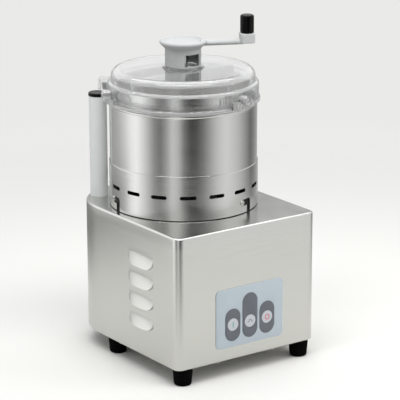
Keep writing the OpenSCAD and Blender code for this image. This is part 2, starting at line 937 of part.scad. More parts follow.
module at_board_corners() {
    for (x = [-1, 1], y = [-1, 1]) {
        translate([x * (keypad_w / 2 - 2 * board_in), y * (keypad_h / 2 - 2 * board_in)]) children();
    }
}

module board_spacers() {
    color("#d8d8d0") translate([key_mid[0], front_y + sheet, key_mid[1]]) rotate([-90, 0, 0])
        at_board_corners() {
            cylinder(r = spacer_r, h = board_gap);
            cylinder(r = board_screw_r, h = board_gap + board_t + thread_over);
        }
}

module key_switches() {
    color("#262626") at_keys() translate([0, stem_end + key_travel, 0]) rotate([-90, 0, 0]) {
        translate([0, 0, seat_gap]) cylinder(r = key_stem_r, h = switch_stand - seat_gap);
        translate([-switch_w / 2, -switch_w / 2, plunger_h])
            cube([switch_w, switch_w, switch_stand - plunger_h]);
    }
}

module run_capacitor() {
    color("#d3d3cf") translate([capacitor_pos[0], capacitor_pos[1], plate_top_z])
        cylinder(r = capacitor_r, h = capacitor_h);
}

module capacitor_clip() {
    leg_y = capacitor_r + clip_t / 2;
    color("#8c8f91") translate([capacitor_pos[0], capacitor_pos[1], plate_top_z]) {
        translate([0, 0, clip_z]) ring(capacitor_r + clip_t + joint_gap, capacitor_r + joint_gap, clip_w);
        translate([-clip_w / 2, leg_y, 0]) cube([clip_w, clip_t, clip_z + clip_w]);
        translate([-clip_w / 2, leg_y, 0]) cube([clip_w, clip_w, clip_t]);
    }
}

module motor_relay() {
    color("#2b2e31") translate([relay_pos[0], relay_pos[1], plate_top_z]) {
        cube(relay);
        translate([relay_step, relay_step, 0]) cube(relay - [2, 2, -1] * relay_step);
    }
}

// Moulded bush that the mains cord enters by
module cord_bush() {
    color("#202020") translate([bush_x, body_d / 2, bush_z]) rotate([-90, 0, 0]) difference() {
        union() {
            translate([0, 0, -sheet - bush_in])
                cylinder(r = bush_r - joint_gap, h = bush_in + sheet + overcut);
            cylinder(r = bush_r + bush_flange_w, h = bush_flange_t);
            cylinder(r = bush_r - bush_step, h = bush_out);
        }
        translate([0, 0, -sheet - bush_in - overcut])
            cylinder(r = bush_bore, h = sheet + bush_in + bush_out + 2 * overcut);
    }
}

module drive_shaft() {
    color("#c9c9c9") at_bowl() {
        translate([0, 0, shaft_low_z]) cylinder(r = shaft_r, h = hub_top_z - shaft_low_z);
        translate([0, 0, hub_top_z - overcut])
            cylinder(r = stub_r, h = cap_nut_h - cap_nut_round + overcut - seat_gap);
    }
}

module motor_rotor() {
    color("#84878a") at_bowl(core_z - rotor_ring) {
        ring(rotor_r, shaft_r + joint_gap, core_len + 2 * rotor_ring);
        for (k = [0 : rotor_fins - 1], z = [-rotor_fin[2], core_len + 2 * rotor_ring]) {
            rotate([0, 0, 360 / rotor_fins * k])
                translate([rotor_r - 1.4 * rotor_fin[0], -rotor_fin[1] / 2, z]) cube(rotor_fin);
        }
    }
}

module cooling_fan() {
    color("#3c4043") at_bowl(fan_z) {
        ring(fan_r, shaft_r + joint_gap, fan_plate_t);
        ring(shaft_r + fan_hub_t, shaft_r + joint_gap, fan_h);
        for (k = [0 : fan_blades - 1]) {
            rotate([0, 0, 360 / fan_blades * k])
                translate([shaft_r + fan_hub_t - overcut, -fan_plate_t / 2, 0])
                cube([fan_r - fan_tip - shaft_r - fan_hub_t + overcut, fan_plate_t, fan_h]);
        }
    }
}

module knife_hub() {
    color("#d2d2d0") at_bowl() difference() {
        union() {
            translate([0, 0, hub_low_z]) cylinder(r = hub_r, h = hub_top_z - hub_low_z);
            translate([0, 0, hub_low_z]) cylinder(r = hub_foot_r, h = hub_foot_h);
        }
        translate([0, 0, hub_low_z - overcut])
            cylinder(r = hub_in_r, h = centre_tube_top + hub_bore_top - hub_low_z + overcut);
        translate([0, 0, hub_low_z]) cylinder(r = shaft_r + joint_gap, h = hub_top_z);
    }
}

// A sickle blade: a clamping ring and one wing whose bevelled back is an arc that ends at the tip
module blade(z, turn) {
    wing_r = (blade_r + hub_foot_r) * 0.5;
    wing_c = blade_r - wing_r;
    color("#d9dadb") at_bowl(z) rotate([0, 0, turn]) difference() {
        union() {
            cylinder(r = hub_foot_r, h = blade_t);
            difference() {
                translate([wing_c, 0, 0]) cylinder(r1 = wing_r, r2 = wing_r - blade_bevel, h = blade_t);
                translate([wing_c - blade_bevel, -wing_r * blade_sweep, -overcut])
                    cylinder(r = wing_r * blade_back, h = blade_t + 2 * overcut);
                translate([-2 * blade_r, -2 * blade_r, -overcut])
                    cube([2 * blade_r, 4 * blade_r, blade_t + 2 * overcut]);
            }
        }
        translate([0, 0, -overcut]) cylinder(r = hub_r + joint_gap, h = blade_t + 2 * overcut);
    }
}

module lower_blade() {
    blade(lower_blade_z, blade_turns[0]);
}

module upper_blade() {
    blade(upper_blade_z, blade_turns[1]);
}

module blade_spacer() {
    color("#c6c6c4") at_bowl(lower_blade_z + blade_t)
        ring(hub_foot_r - spacer_step, hub_r + joint_gap, blade_rise - blade_t);
}

module knife_clamp_ring() {
    color("#c6c6c4") at_bowl(clamp_z) difference() {
        ring(hub_foot_r, hub_r + joint_gap, clamp_h);
        for (k = [0 : 7]) {
            rotate([0, 0, 45 * k]) translate([hub_foot_r + grip_r / 2, 0, -overcut])
                cylinder(r = grip_r, h = clamp_h + 2 * overcut);
        }
    }
}

module knife_cap() {
    color("#1f1f1f") at_bowl(hub_top_z) difference() {
        rotate_extrude() {
            square([cap_nut_r, cap_nut_h - cap_nut_round]);
            square([cap_nut_r - cap_nut_round, cap_nut_h]);
            translate([cap_nut_r - cap_nut_round, cap_nut_h - cap_nut_round]) circle(cap_nut_round);
        }
        translate([0, 0, -overcut])
            cylinder(r = stub_r + joint_gap, h = cap_nut_h - cap_nut_round + overcut);
        for (k = [0 : 9]) {
            rotate([0, 0, 36 * k]) translate([cap_nut_r + grip_r / 2, 0, -overcut])
                cylinder(r = grip_r, h = cap_nut_h + 2 * overcut);
        }
    }
}

// Inner pot: flat floor with a welding flange, straight wall, a ledge under the seat, rolled rim
module bowl_pot() {
    color("#cfcfcc") at_bowl() rotate_extrude() {
        translate([centre_tube_out + joint_gap, pot_floor_z])
            square([jacket_r - bowl_t - joint_gap - centre_tube_out - joint_gap, bowl_t]);
        translate([pot_in_r, pot_floor_z]) square([bowl_t, rim_z - pot_floor_z - rim_bead_r]);
        difference() {
            translate([pot_in_r - pot_corner_r, pot_floor_z + bowl_t / 2])
                square(pot_corner_r + bowl_t / 2);
            translate([pot_in_r - pot_corner_r, pot_floor_z + bowl_t + pot_corner_r])
                circle(pot_corner_r);
        }
        translate([pot_in_r, seat_z - 2 * bowl_t]) square([bowl_t + pot_ledge, bowl_t]);
        translate([pot_r + 0.6, rim_z - rim_bead_r]) circle(rim_bead_r);
    }
}

// A skirt slot with round ends, cut along the radius
module skirt_slot(angle, z, len, h) {
    rotate([0, 0, angle]) translate([skirt_r - skirt_cut / 2, 0, z]) rotate([90, 0, 90])
        linear_extrude(skirt_cut) {
            square([len - h, h], center = true);
            for (s = [-1, 1]) translate([s * (len - h) / 2, 0]) circle(h / 2);
        }
}

// L-shaped way for a bayonet pin: up from the lower edge, then round to the locked place
module bayonet_slot(angle) {
    z = bowl_z + bayonet_z;
    low_r = skirt_r - skirt_cut / 2;
    rotate([0, 0, angle]) translate([low_r, -bayonet_slot_r, bowl_z - overcut])
        cube([skirt_cut, 2 * bayonet_slot_r, bayonet_z + overcut]);
    for (a = [angle, angle - bayonet_turn]) {
        radial_rod(bayonet_slot_r, low_r, low_r + skirt_cut, a, z);
    }
    rotate([0, 0, angle - bayonet_turn]) rotate_extrude(angle = bayonet_turn)
        translate([low_r, z - bayonet_slot_r]) square([skirt_cut, 2 * bayonet_slot_r]);
}

// Outer jacket: skirt with slots and bayonet ways, floor ledge, straight wall, bead and lid seat
module bowl_jacket() {
    color("#cacac6") at_bowl() difference() {
        rotate_extrude() {
            translate([skirt_r - bowl_t, bowl_z]) square([bowl_t, bowl_floor_h]);
            translate([jacket_r - bowl_t - floor_ledge, pot_floor_z - floor_ledge_t])
                square([floor_ledge + bowl_t + skirt_r - jacket_r, floor_ledge_t]);
            translate([jacket_r - bowl_t, pot_floor_z - floor_ledge_t])
                square([bowl_t, bowl_seat_h - bowl_floor_h]);
            translate([pot_r + seat_gap, seat_z - bowl_t])
                square([jacket_r - pot_r - seat_gap - jacket_bead_r + 1, bowl_t]);
            translate([jacket_r - jacket_bead_r + 1, seat_z - jacket_bead_r]) circle(jacket_bead_r);
        }
        for (k = [0 : slot_count - 1]) {
            skirt_slot(slot_start + k * 360 / slot_count, bowl_z + slot_z, slot_len, slot_h);
        }
        for (k = [0 : 2]) bayonet_slot(entry_angle + 120 * k);
    }
}

module bowl_centre_tube() {
    color("#cfcfcc") at_bowl() {
        translate([0, 0, centre_tube_low])
            ring(centre_tube_out, centre_tube_in, centre_tube_top - centre_tube_low);
        translate([0, 0, pot_floor_z - floor_ledge_t])
            ring(centre_tube_out + tube_collar_w, centre_tube_out - seat_gap, floor_ledge_t);
    }
}

module lid_gasket() {
    color("#e4e4e0") at_bowl(seat_z + seat_gap) ring(lid_drum_r + 1, lid_throat_r, gasket_t);
}

// Half section of the lid's hollow moulding
module lid_section() {
    in_drum = lid_drum_r - lid_t;
    in_skirt = lid_skirt_r - lid_t;
    difference() {
        union() {
            square([lid_skirt_r, lid_skirt_h - skirt_round]);
            square([lid_skirt_r - skirt_round, lid_skirt_h]);
            translate([lid_skirt_r - skirt_round, lid_skirt_h - skirt_round]) circle(skirt_round);
            square([lid_drum_r, lid_h - lid_shoulder_r]);
            square([lid_drum_r - lid_shoulder_r, lid_h]);
            translate([lid_drum_r - lid_shoulder_r, lid_h - lid_shoulder_r]) circle(lid_shoulder_r);
            square([lid_skirt_r + flange_out, flange_h]);
        }
        translate([0, flange_h]) square([in_skirt, lid_skirt_h - lid_t - flange_h]);
        translate([0, -overcut]) square([lid_throat_r, lid_h - lid_t - flange_h]);
        translate([0, flange_h]) square([in_drum, lid_h - lid_shoulder_r - flange_h]);
        translate([0, flange_h]) square([lid_drum_r - lid_shoulder_r, lid_h - lid_t - flange_h]);
        translate([lid_drum_r - lid_shoulder_r, lid_h - lid_shoulder_r]) circle(lid_shoulder_r - lid_t);
        square([collar_r - collar_t, lid_h + overcut]);
    }
}

// Cut-out of the feed window, facing the front of the machine
module window_cut(r_in, r_out, z, h) {
    translate([0, 0, z]) rotate([0, 0, -90 - window_angle / 2]) rotate_extrude(angle = window_angle)
        translate([r_in, 0]) square([r_out - r_in, h]);
}

// Ribbed lug of the lid, with a round boss for its pin
module lid_lug(angle) {
    rotate([0, 0, angle]) {
        rotate([0, 0, -lug_span / 2]) rotate_extrude(angle = lug_span)
            translate([lid_skirt_r - 1, lug_z]) square([lug_t + 1, lug_pad_h]);
        for (k = [0 : lug_ribs]) {
            rotate([0, 0, (k / lug_ribs - 0.5) * (lug_span - lug_rib_t)])
                translate([lid_skirt_r - 1, -lug_rib_t / 2, lug_z])
                    cube([lug_rib_reach + 1, lug_rib_t, lug_pad_h - lug_rib_t]);
        }
        translate([lid_skirt_r - 1, 0, lug_pin_z]) rotate([0, 90, 0])
            cylinder(r = lug_boss_r, h = lug_boss_reach + 1);
    }
}

module magnet_tab() {
    inner = lid_skirt_r - lid_t / 2;
    translate([0, 0, tab_z]) rotate([0, 0, column_angle]) {
        linear_extrude(tab_h) {
            translate([inner, -tab_w / 2]) square([lid_skirt_r + tab_reach - tab_round - inner, tab_w]);
            translate([inner, -tab_w / 2 + tab_round])
                square([lid_skirt_r + tab_reach - inner, tab_w - 2 * tab_round]);
            for (s = [-1, 1]) {
                translate([lid_skirt_r + tab_reach - tab_round, s * (tab_w / 2 - tab_round)])
                    circle(tab_round);
            }
        }
    }
}

module lid_shell() {
    color([0.9, 0.92, 0.92, 0.35]) at_bowl() difference() {
        union() {
            translate([0, 0, lid_z]) rotate_extrude() lid_section();
            translate([0, 0, lid_top_z - lid_t]) ring(collar_r, collar_r - collar_t, collar_rise + lid_t);
            translate([0, 0, lid_top_z - lid_t])
                ring(collar_r + collar_foot, collar_r - collar_t, lid_t + collar_foot_h);
            for (a = lug_angles) lid_lug(a);
            magnet_tab();
        }
        window_cut(collar_r - 2 * collar_t, collar_r + 1, window_z, window_h);
        for (a = lug_angles) {
            radial_rod(lug_pin_r + joint_gap, lug_pin_in, lid_skirt_r + lug_boss_reach + overcut, a,
                lug_pin_z);
        }
        rotate([0, 0, column_angle]) translate([magnet_reach, 0, tab_z - overcut])
            cylinder(r = magnet_r + joint_gap, h = magnet_h + 1 + overcut);
    }
}

module lug_pins() {
    color("#55585a") at_bowl() for (a = lug_angles) {
        radial_rod(lug_pin_r, lug_pin_in + seat_gap, lid_skirt_r + lug_boss_reach + 0.6, a, lug_pin_z);
    }
}

module lid_magnet() {
    color("#3b3b3b") at_bowl() rotate([0, 0, column_angle]) translate([magnet_reach, 0, tab_z + 0.5])
        cylinder(r = magnet_r, h = magnet_h);
}

// Crank: a dished head on a tube with a feed window, and an arm with a raised block for the knob
module crank_head() {
    color("#d9dadb") at_bowl() difference() {
        union() {
            rotate_extrude() {
                difference() {
                    union() {
                        translate([0, tube_low_z]) square([tube_out_r, head_rim_z - head_edge - tube_low_z]);
                        polygon([
                            [0, head_floor_z + head_floor_t],
                            [tube_out_r, head_floor_z + head_floor_t],
                            [head_r, head_rim_z - head_edge],
                            [head_r, head_rim_z - 1],
                            [head_r - 1, head_rim_z],
                            [0, head_rim_z]
                        ]);
                    }
                    translate([0, tube_low_z - overcut])
                        square([tube_in_r, head_floor_z - tube_low_z + overcut]);
                    translate([0, head_rim_z - dish_depth])
                        polygon([
                            [0, 0], [head_r - dish_in, 0],
                            [head_r - dish_wall, dish_depth + overcut], [0, dish_depth + overcut]
                        ]);
                }
            }
            rotate([0, 0, arm_angle]) {
                translate([0, 0, arm_z]) linear_extrude(arm_h) polygon([
                    [head_r - arm_in, -arm_root_w / 2], [crank_len - arm_in, -arm_tip_w / 2],
                    [crank_len - arm_in, arm_tip_w / 2], [head_r - arm_in, arm_root_w / 2]
                ]);
                translate([crank_len, 0, block_z]) linear_extrude(block_h)
                    round_rect(block_len, block_w, block_round);
            }
        }
        window_cut(tube_in_r - 1, tube_out_r + 1, window_z, window_h);
        translate([0, 0, head_floor_z - overcut]) cylinder(r = rod_r + joint_gap, h = rod_sink + overcut);
        rotate([0, 0, arm_angle]) translate([crank_len, 0, block_top_z - spindle_sink])
            cylinder(r = knob_spindle_r + joint_gap, h = spindle_sink + overcut);
    }
}

module scraper_shaft() {
    color("#d5d5d2") at_bowl(rod_low_z)
        cylinder(r = rod_r, h = head_floor_z + rod_sink - seat_gap - rod_low_z);
}

// Cross bar with a leg at each end, on a hub that grips the shaft
module scraper_arm() {
    color("#e6e6e2") at_bowl() difference() {
        union() {
            translate([-leg_out, -arm_bar_w / 2, arm_bar_z]) cube([2 * leg_out, arm_bar_w, arm_bar_h]);
            translate([0, 0, arm_hub_z]) cylinder(r = rod_r + arm_hub_wall, h = arm_hub_h);
            for (s = [-1, 1]) {
                translate([s * (leg_out - leg_w / 2), 0, (leg_low_z + arm_bar_z + arm_bar_h) / 2])
                    cube([leg_w, leg_t, arm_bar_z + arm_bar_h - leg_low_z], center = true);
            }
        }
        translate([0, 0, arm_hub_z - overcut])
            cylinder(r = rod_r + joint_gap, h = arm_hub_h + 2 * overcut);
    }
}

module scraper_wipers() {
    color("#efefec") at_bowl() for (s = [0, 180]) {
        rotate([0, 0, s]) intersection() {
            translate([leg_out, -wiper_t / 2, wiper_low_z])
                cube([wiper_w, wiper_t, wiper_high_z - wiper_low_z]);
            cylinder(r = wiper_out, h = 2 * wiper_high_z);
        }
    }
}

module at_knob(z) {
    at_bowl() rotate([0, 0, arm_angle]) translate([crank_len, 0, z]) children();
}

module knob_spindle() {
    color("#b9b9b9") at_knob(block_top_z - spindle_sink + seat_gap)
        cylinder(r = knob_spindle_r, h = spindle_sink - seat_gap + knob_h - knob_end);
}

module crank_knob() {
    color("#161616") at_knob(block_top_z + part_gap) difference() {
        rotate_extrude() {
            square([knob_r, knob_h - knob_round]);
            square([knob_r - knob_round, knob_h]);
            translate([knob_r - knob_round, knob_h - knob_round]) circle(knob_round);
        }
        translate([0, 0, -overcut])
            cylinder(r = knob_spindle_r + spindle_fit, h = knob_h - knob_end + overcut);
    }
}

housing_shell();
floor_plate();
floor_plate_screws();
feet();
foot_screws();
locating_ring();
bayonet_pins();
drive_boss();
boss_screws();
shaft_seal();
upper_bearing();
upper_end_bell();
motor_can();
stator_core();
stator_windings();
lower_end_bell();
lower_bearing();
motor_studs();
column_tube();
column_stud();
column_nut();
column_cap();
reed_switch();
keypad_plate();
key_surrounds();
key_board();
board_spacers();
key_switches();
run_capacitor();
capacitor_clip();
motor_relay();
cord_bush();
drive_shaft();
motor_rotor();
cooling_fan();
knife_hub();
lower_blade();
blade_spacer();
upper_blade();
knife_clamp_ring();
knife_cap();
bowl_pot();
bowl_jacket();
bowl_centre_tube();
lid_gasket();
lid_shell();
lug_pins();
lid_magnet();
crank_head();
scraper_shaft();
scraper_arm();
scraper_wipers();
knob_spindle();
crank_knob();
start_key();
pulse_key();
stop_key();
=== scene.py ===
import json
import math

import bmesh
import bpy
from mathutils import Matrix, Vector

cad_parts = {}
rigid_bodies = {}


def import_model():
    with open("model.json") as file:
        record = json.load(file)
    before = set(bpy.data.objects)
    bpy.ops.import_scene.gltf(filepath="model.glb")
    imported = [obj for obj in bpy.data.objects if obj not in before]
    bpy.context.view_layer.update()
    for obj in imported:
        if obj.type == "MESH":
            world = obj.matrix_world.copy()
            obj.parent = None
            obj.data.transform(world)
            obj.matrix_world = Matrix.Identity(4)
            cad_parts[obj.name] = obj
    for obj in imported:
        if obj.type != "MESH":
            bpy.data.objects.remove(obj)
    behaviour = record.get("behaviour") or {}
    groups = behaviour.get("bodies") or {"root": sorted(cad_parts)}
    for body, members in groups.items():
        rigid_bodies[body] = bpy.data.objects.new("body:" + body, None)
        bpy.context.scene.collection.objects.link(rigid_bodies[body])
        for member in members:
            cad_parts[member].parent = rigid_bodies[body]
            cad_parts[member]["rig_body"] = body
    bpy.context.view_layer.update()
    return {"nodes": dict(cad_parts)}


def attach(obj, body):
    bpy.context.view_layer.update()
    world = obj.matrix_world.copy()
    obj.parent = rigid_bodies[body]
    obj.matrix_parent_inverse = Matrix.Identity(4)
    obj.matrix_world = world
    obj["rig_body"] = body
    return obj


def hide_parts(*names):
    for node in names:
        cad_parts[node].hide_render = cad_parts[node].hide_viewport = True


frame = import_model()

MM = 0.001
# Places on the object, in millimetres
AXIS = (-2.0, 9.0)  # the bowl's axis, seen from above
TOP = 225.0  # top of the housing
BOWL = 226.0  # lower edge of the bowl's skirt
POT_FLOOR = 292.5  # underside of the inner pot
SEAT = 383.0  # the jacket's bead, on which the pot's shoulder rests
RIM = 410.0  # top of the pot's rolled rim
LID = 384.2  # underside of the lid's flange
WINDOW_Z, WINDOW_H = 436.0, 18.0  # the feed window in collar and crank
ARM_ANGLE = math.radians(-26)
CRANK = 96.0  # from the bowl's axis to the knob's


# Camera at the photograph's place, solved from the housing's edges: a 185 mm lens on a 36 mm frame

def place_camera():
    az, el, roll = (math.radians(a) for a in (-35.2807, 15.9491, -0.1376))
    back = Vector((math.sin(az) * math.cos(el), -math.cos(az) * math.cos(el), math.sin(el)))
    right = (-back).cross(Vector((0, 0, 1))).normalized()
    up = right.cross(-back).normalized()
    right, up = right * math.cos(roll) + up * math.sin(roll), up * math.cos(roll) - right * math.sin(roll)
    data = bpy.data.cameras.new("camera")
    data.sensor_width = 36
    data.lens = 2057.70 * 36 / 400
    data.clip_start, data.clip_end = 0.1, 60
    camera = bpy.data.objects.new("camera", data)
    turn = Matrix((right, up, back)).transposed().to_4x4()
    camera.matrix_world = Matrix.Translation((-1.70341, -2.43817, 1.07842)) @ turn
    bpy.context.scene.collection.objects.link(camera)
    bpy.context.scene.camera = camera


# Materials

def linear(code):
    parts = [int(code[i:i + 2], 16) / 255 for i in (1, 3, 5)]
    return tuple(c / 12.92 if c <= 0.04045 else ((c + 0.055) / 1.055) ** 2.4 for c in parts) + (1.0,)


def add(tree, kind, inputs=(), **settings):
    """Adds a node: inputs are (socket, value or output socket) pairs."""
    node = tree.nodes.new(kind if "Node" in kind else "ShaderNode" + kind)
    for name, value in settings.items():
        setattr(node, name, value)
    for socket, value in inputs:
        if isinstance(value, bpy.types.NodeSocket):
            tree.links.new(value, node.inputs[socket])
        else:
            node.inputs[socket].default_value = value
    return node


def new_material(name, **principled):
    material = bpy.data.materials.new(name)
    material.use_nodes = True
    material.node_tree.nodes.clear()
    tree = material.node_tree
    shader = add(tree, "BsdfPrincipled", [(k.replace("_", " "), v) for k, v in principled.items()])
    output = add(tree, "OutputMaterial")
    tree.links.new(shader.outputs[0], output.inputs[0])
    return material, tree, shader


def surface_marks(tree, coords, size_mm, stretch, detail=4.0, seed=0.0):
    """The height of a surface's marks: size_mm apart on the object, and stretch times as long along each axis."""
    place = add(tree, "Mapping", [(0, coords), (1, (seed, seed * 0.7, seed * 1.3)),
                                  (3, tuple(1000.0 / (size_mm * s) for s in stretch))])
    return add(tree, "TexNoise", [(0, place.outputs[0]), ("Scale", 1.0), ("Detail", detail)]).outputs[0]


def bare_metal(name, colour, rough, along, depth):
    """Ground, plated, blasted or drawn metal: satin, with hairlines along one direction or a fine mottle."""
    material, tree, shader = new_material(name, Metallic=1.0, Roughness=rough)
    coords = add(tree, "TexCoord").outputs["Object"]
    lines = surface_marks(tree, coords, 0.5, along, 2.0)
    # a hand's breadth apart, rolling and wiping leave the sheet a little brighter or duller
    cloud = surface_marks(tree, coords, 90.0, (1, 1, 1), 2.0, 3.0)
    tint = add(tree, "MapRange", [(0, cloud), (1, 0.3), (2, 0.7), (3, 0.98), (4, 1.0)]).outputs[0]
    base = add(tree, "MixRGB", [(0, 1.0), (1, linear(colour)), (2, tint)], blend_type="MULTIPLY").outputs[0]
    streak = add(tree, "MapRange", [(0, lines), (1, 0.3), (2, 0.7), (3, 0.98), (4, 1.0)]).outputs[0]
    base = add(tree, "MixRGB", [(0, 1.0), (1, base), (2, streak)], blend_type="MULTIPLY").outputs[0]
    tree.links.new(base, shader.inputs["Base Color"])
    wear = add(tree, "MapRange", [(0, lines), (1, 0.3), (2, 0.7), (3, rough - 0.03), (4, rough + 0.03)])
    tree.links.new(wear.outputs[0], shader.inputs["Roughness"])
    bump = add(tree, "Bump", [("Strength", depth), ("Distance", 0.00005), ("Height", lines)])
    tree.links.new(bump.outputs[0], shader.inputs["Normal"])
    return material


def turned_steel(name, colour, rough, aniso, line_mm=0.8):
    """Steel turned or polished on a lathe: fine rings round the axis draw each reflection out upright."""
    material, tree, shader = new_material(
        name, Metallic=1.0, Roughness=rough, Anisotropic=aniso, Anisotropic_Rotation=0.25)
    coords = add(tree, "TexCoord").outputs["Object"]
    lines = surface_marks(tree, coords, line_mm, (60, 60, 1), 3.0)
    streak = add(tree, "MapRange", [(0, lines), (1, 0.3), (2, 0.7), (3, 0.96), (4, 1.0)]).outputs[0]
    base = add(tree, "MixRGB", [(0, 1.0), (1, linear(colour)), (2, streak)], blend_type="MULTIPLY").outputs[0]
    tree.links.new(base, shader.inputs["Base Color"])
    wear = add(tree, "MapRange", [(0, lines), (1, 0.3), (2, 0.7), (3, rough - 0.03), (4, rough + 0.04)])
    tree.links.new(wear.outputs[0], shader.inputs["Roughness"])
    tangent = add(tree, "Tangent", direction_type="RADIAL", axis="Z")
    tree.links.new(tangent.outputs[0], shader.inputs["Tangent"])
    return material


def dull_skin(name, colour, rough, size_mm=0.6, depth=0.15, shade=0.94, gloss=0.5):
    """A moulded, cast, painted or printed skin: a fine texture and a little unevenness in the colour."""
    material, tree, shader = new_material(name, Roughness=rough, Specular_IOR_Level=gloss)
    coords = add(tree, "TexCoord").outputs["Object"]
    fine = surface_marks(tree, coords, size_mm, (1, 1, 1), 2.0)
    cloud = surface_marks(tree, coords, 25.0, (1, 1, 1), 2.0, 5.0)
    tint = add(tree, "MapRange", [(0, cloud), (1, 0.35), (2, 0.65), (3, shade), (4, 1.0)]).outputs[0]
    base = add(tree, "MixRGB", [(0, 1.0), (1, linear(colour)), (2, tint)], blend_type="MULTIPLY").outputs[0]
    tree.links.new(base, shader.inputs["Base Color"])
    wear = add(tree, "MapRange", [(0, fine), (1, 0.3), (2, 0.7), (3, rough - 0.05), (4, rough + 0.06)])
    tree.links.new(wear.outputs[0], shader.inputs["Roughness"])
    bump = add(tree, "Bump", [("Strength", depth), ("Distance", 0.00008), ("Height", fine)])
    tree.links.new(bump.outputs[0], shader.inputs["Normal"])
    return material


def clear_plastic(name, colour, rough, haze):
    """Injection-moulded polycarbonate: clear, with faint flow lines, fine use marks and a milky haze."""
    material, tree, shader = new_material(
        name, Base_Color=linear(colour), Roughness=rough, IOR=1.58, Transmission_Weight=1.0 - haze)
    coords = add(tree, "TexCoord").outputs["Object"]
    flow = surface_marks(tree, coords, 30.0, (1, 1, 0.4), 2.0)
    marks = surface_marks(tree, coords, 1.2, (8, 1, 1), 3.0, 2.0)
    wear = add(tree, "MapRange", [(0, marks), (1, 0.35), (2, 0.75), (3, rough), (4, rough + 0.05)])
    tree.links.new(wear.outputs[0], shader.inputs["Roughness"])
    bump = add(tree, "Bump", [("Strength", 0.25), ("Distance", 0.0004), ("Height", flow)])
    tree.links.new(bump.outputs[0], shader.inputs["Normal"])
    return material


# Each finish is named for the real one. Where its marks are too fine to show in a picture of the whole
# machine, they are drawn at the size given here, which is coarser than life.

# Cold-rolled stainless sheet ground with a belt: satin grey, and each reflection is drawn out upright.
# The real hairlines are some 0.06 mm wide. They are drawn 0.5 mm wide, level and faint.
HOUSING = bare_metal("stainless_ground_sheet", "#CFCFCB", 0.24, (90, 90, 1), 0.02)
# Stainless bowl spun and polished on a lathe: rings round the axis pull lights into tall bright bands.
# The real rings are about 0.1 mm apart and are drawn 0.8 mm apart.
BOWL_STEEL = turned_steel("stainless_turned_bowl", "#CECECC", 0.18, 0.85)
# The inner pot, of the same steel but coloured brighter.
POT_STEEL = turned_steel("stainless_bright_pot", "#D6D6D4", 0.20, 0.85)
# Turned steel parts: plain grey metal with soft rings, drawn 0.5 mm apart for a feed of 0.1 mm.
TURNED = turned_steel("stainless_turned_part", "#C2C2C0", 0.25, 0.5, 0.5)
# Steel ring under the bowl, coloured nearly black as painted shade, so that the bayonet ways and the gap read dark.
RING_PAINTED_SHADE = turned_steel("steel_turned_painted_shade", "#1E1E20", 0.38, 0.4, 0.5)
# Knife steel ground across the blade: cold, bright, with scratches drawn 0.5 mm wide for 0.05 mm.
BLADE = bare_metal("blade_ground_steel", "#CFD0D2", 0.22, (1, 30, 30), 0.10)
# Zinc-plated steel: a dull, slightly warm grey with a fine mottle of 0.5 mm, near its real size.
ZINC = bare_metal("zinc_plated_steel", "#B9B8B2", 0.34, (1, 1, 1), 0.15)
# Aluminium can of the capacitor, blasted and anodised: pale, matt metal with no clear reflection.
ALLOY = bare_metal("aluminium_blasted_anodised", "#E4E6E6", 0.62, (1, 1, 2), 0.05)
# Silver paint on the aluminium column: an even pale tone with one soft upright light.
# The paint's grain of 0.05 mm is drawn at 0.5 mm.
SILVER = dull_skin("aluminium_silver_painted", "#DFE2E3", 0.36, 0.5, 0.04, 0.98)
# Die-cast aluminium as it leaves the mould: matt mid grey with a pebbled skin of 1.2 mm, its real size.
CAST = dull_skin("aluminium_as_cast", "#9A9DA0", 0.55, 1.2, 0.35)
# Motor enamel: dark grey, half matt, with the orange peel of a sprayed coat, 0.6 mm.
PAINT = dull_skin("motor_enamel_grey", "#4A4E53", 0.45)
# Enamelled copper wire of 0.5 mm, laid side by side: warm, with fine lines along the bundle.
COPPER = bare_metal("copper_enamelled_wire", "#B9744A", 0.35, (30, 30, 1), 0.3)
# Moulded rubber feet: dead black that takes hardly any light. Its skin of 0.1 mm is drawn at 0.8 mm.
RUBBER = dull_skin("rubber_moulded_black", "#050505", 0.8, 0.8, 0.3, 0.9, 0.04)
# Moulded acetal: deep black with a soft sheen on the curves. Its skin of 0.05 mm is drawn at 0.5 mm.
BLACK = dull_skin("acetal_moulded_black", "#030303", 0.24, 0.5, 0.03, 0.94, 0.14)
# Moulded ABS of the crank: pale grey and satin. The mould's spark texture of 0.1 mm is drawn at 0.7 mm.
PALE = dull_skin("abs_moulded_pale_grey", "#C0C2C3", 0.48, 0.7, 0.05, 0.98, 0.25)
# Silicone of seal and wipers: milky white and soft-looking. Its skin of 0.1 mm is drawn at 0.8 mm.
SILICONE = dull_skin("silicone_translucent_white", "#DEDEDA", 0.48, 0.8, 0.1)
# Injection-moulded polycarbonate: clear, with the moulding's flow 30 mm apart, which bends what lies
# behind, and wiping scratches. Those are 0.05 mm wide and drawn 1.2 mm apart. Use makes it a little milky.
# Milkier copies, partly wear and partly painted light, give a painted glow on the flat top, lugs and upper
# shoulder, and painted highlights on the shoulder, fold and flange.
CLEAR = clear_plastic("polycarbonate_clear", "#FAFBFB", 0.02, 0.015)
CLEAR_TOP_HAZE_LIT = clear_plastic("polycarbonate_clear_top_painted_glow", "#FAFBFB", 0.02, 0.09)
CLEAR_RUBBED_AND_LIT = clear_plastic("polycarbonate_clear_rubbed_painted_glow", "#FAFBFB", 0.02, 0.16)
CLEAR_WORN_AND_HIGHLIT = clear_plastic("polycarbonate_clear_worn_painted_highlight", "#FAFBFB", 0.02, 0.27)
# Printed polyester film over the keypad: flat pale colours with a matt skin that kills reflections.
# Its grain of 0.05 mm is drawn at 0.5 mm.
FILM = dull_skin("polyester_film_pale_blue", "#B9C5CE", 0.42, 0.5, 0.12, 0.97)
FILM_GREY = dull_skin("polyester_film_slate", "#636870", 0.45, 0.5, 0.12, 0.96)
KEY_FILM = dull_skin("polyester_film_key", "#C6CAD0", 0.40, 0.5, 0.10, 0.97)
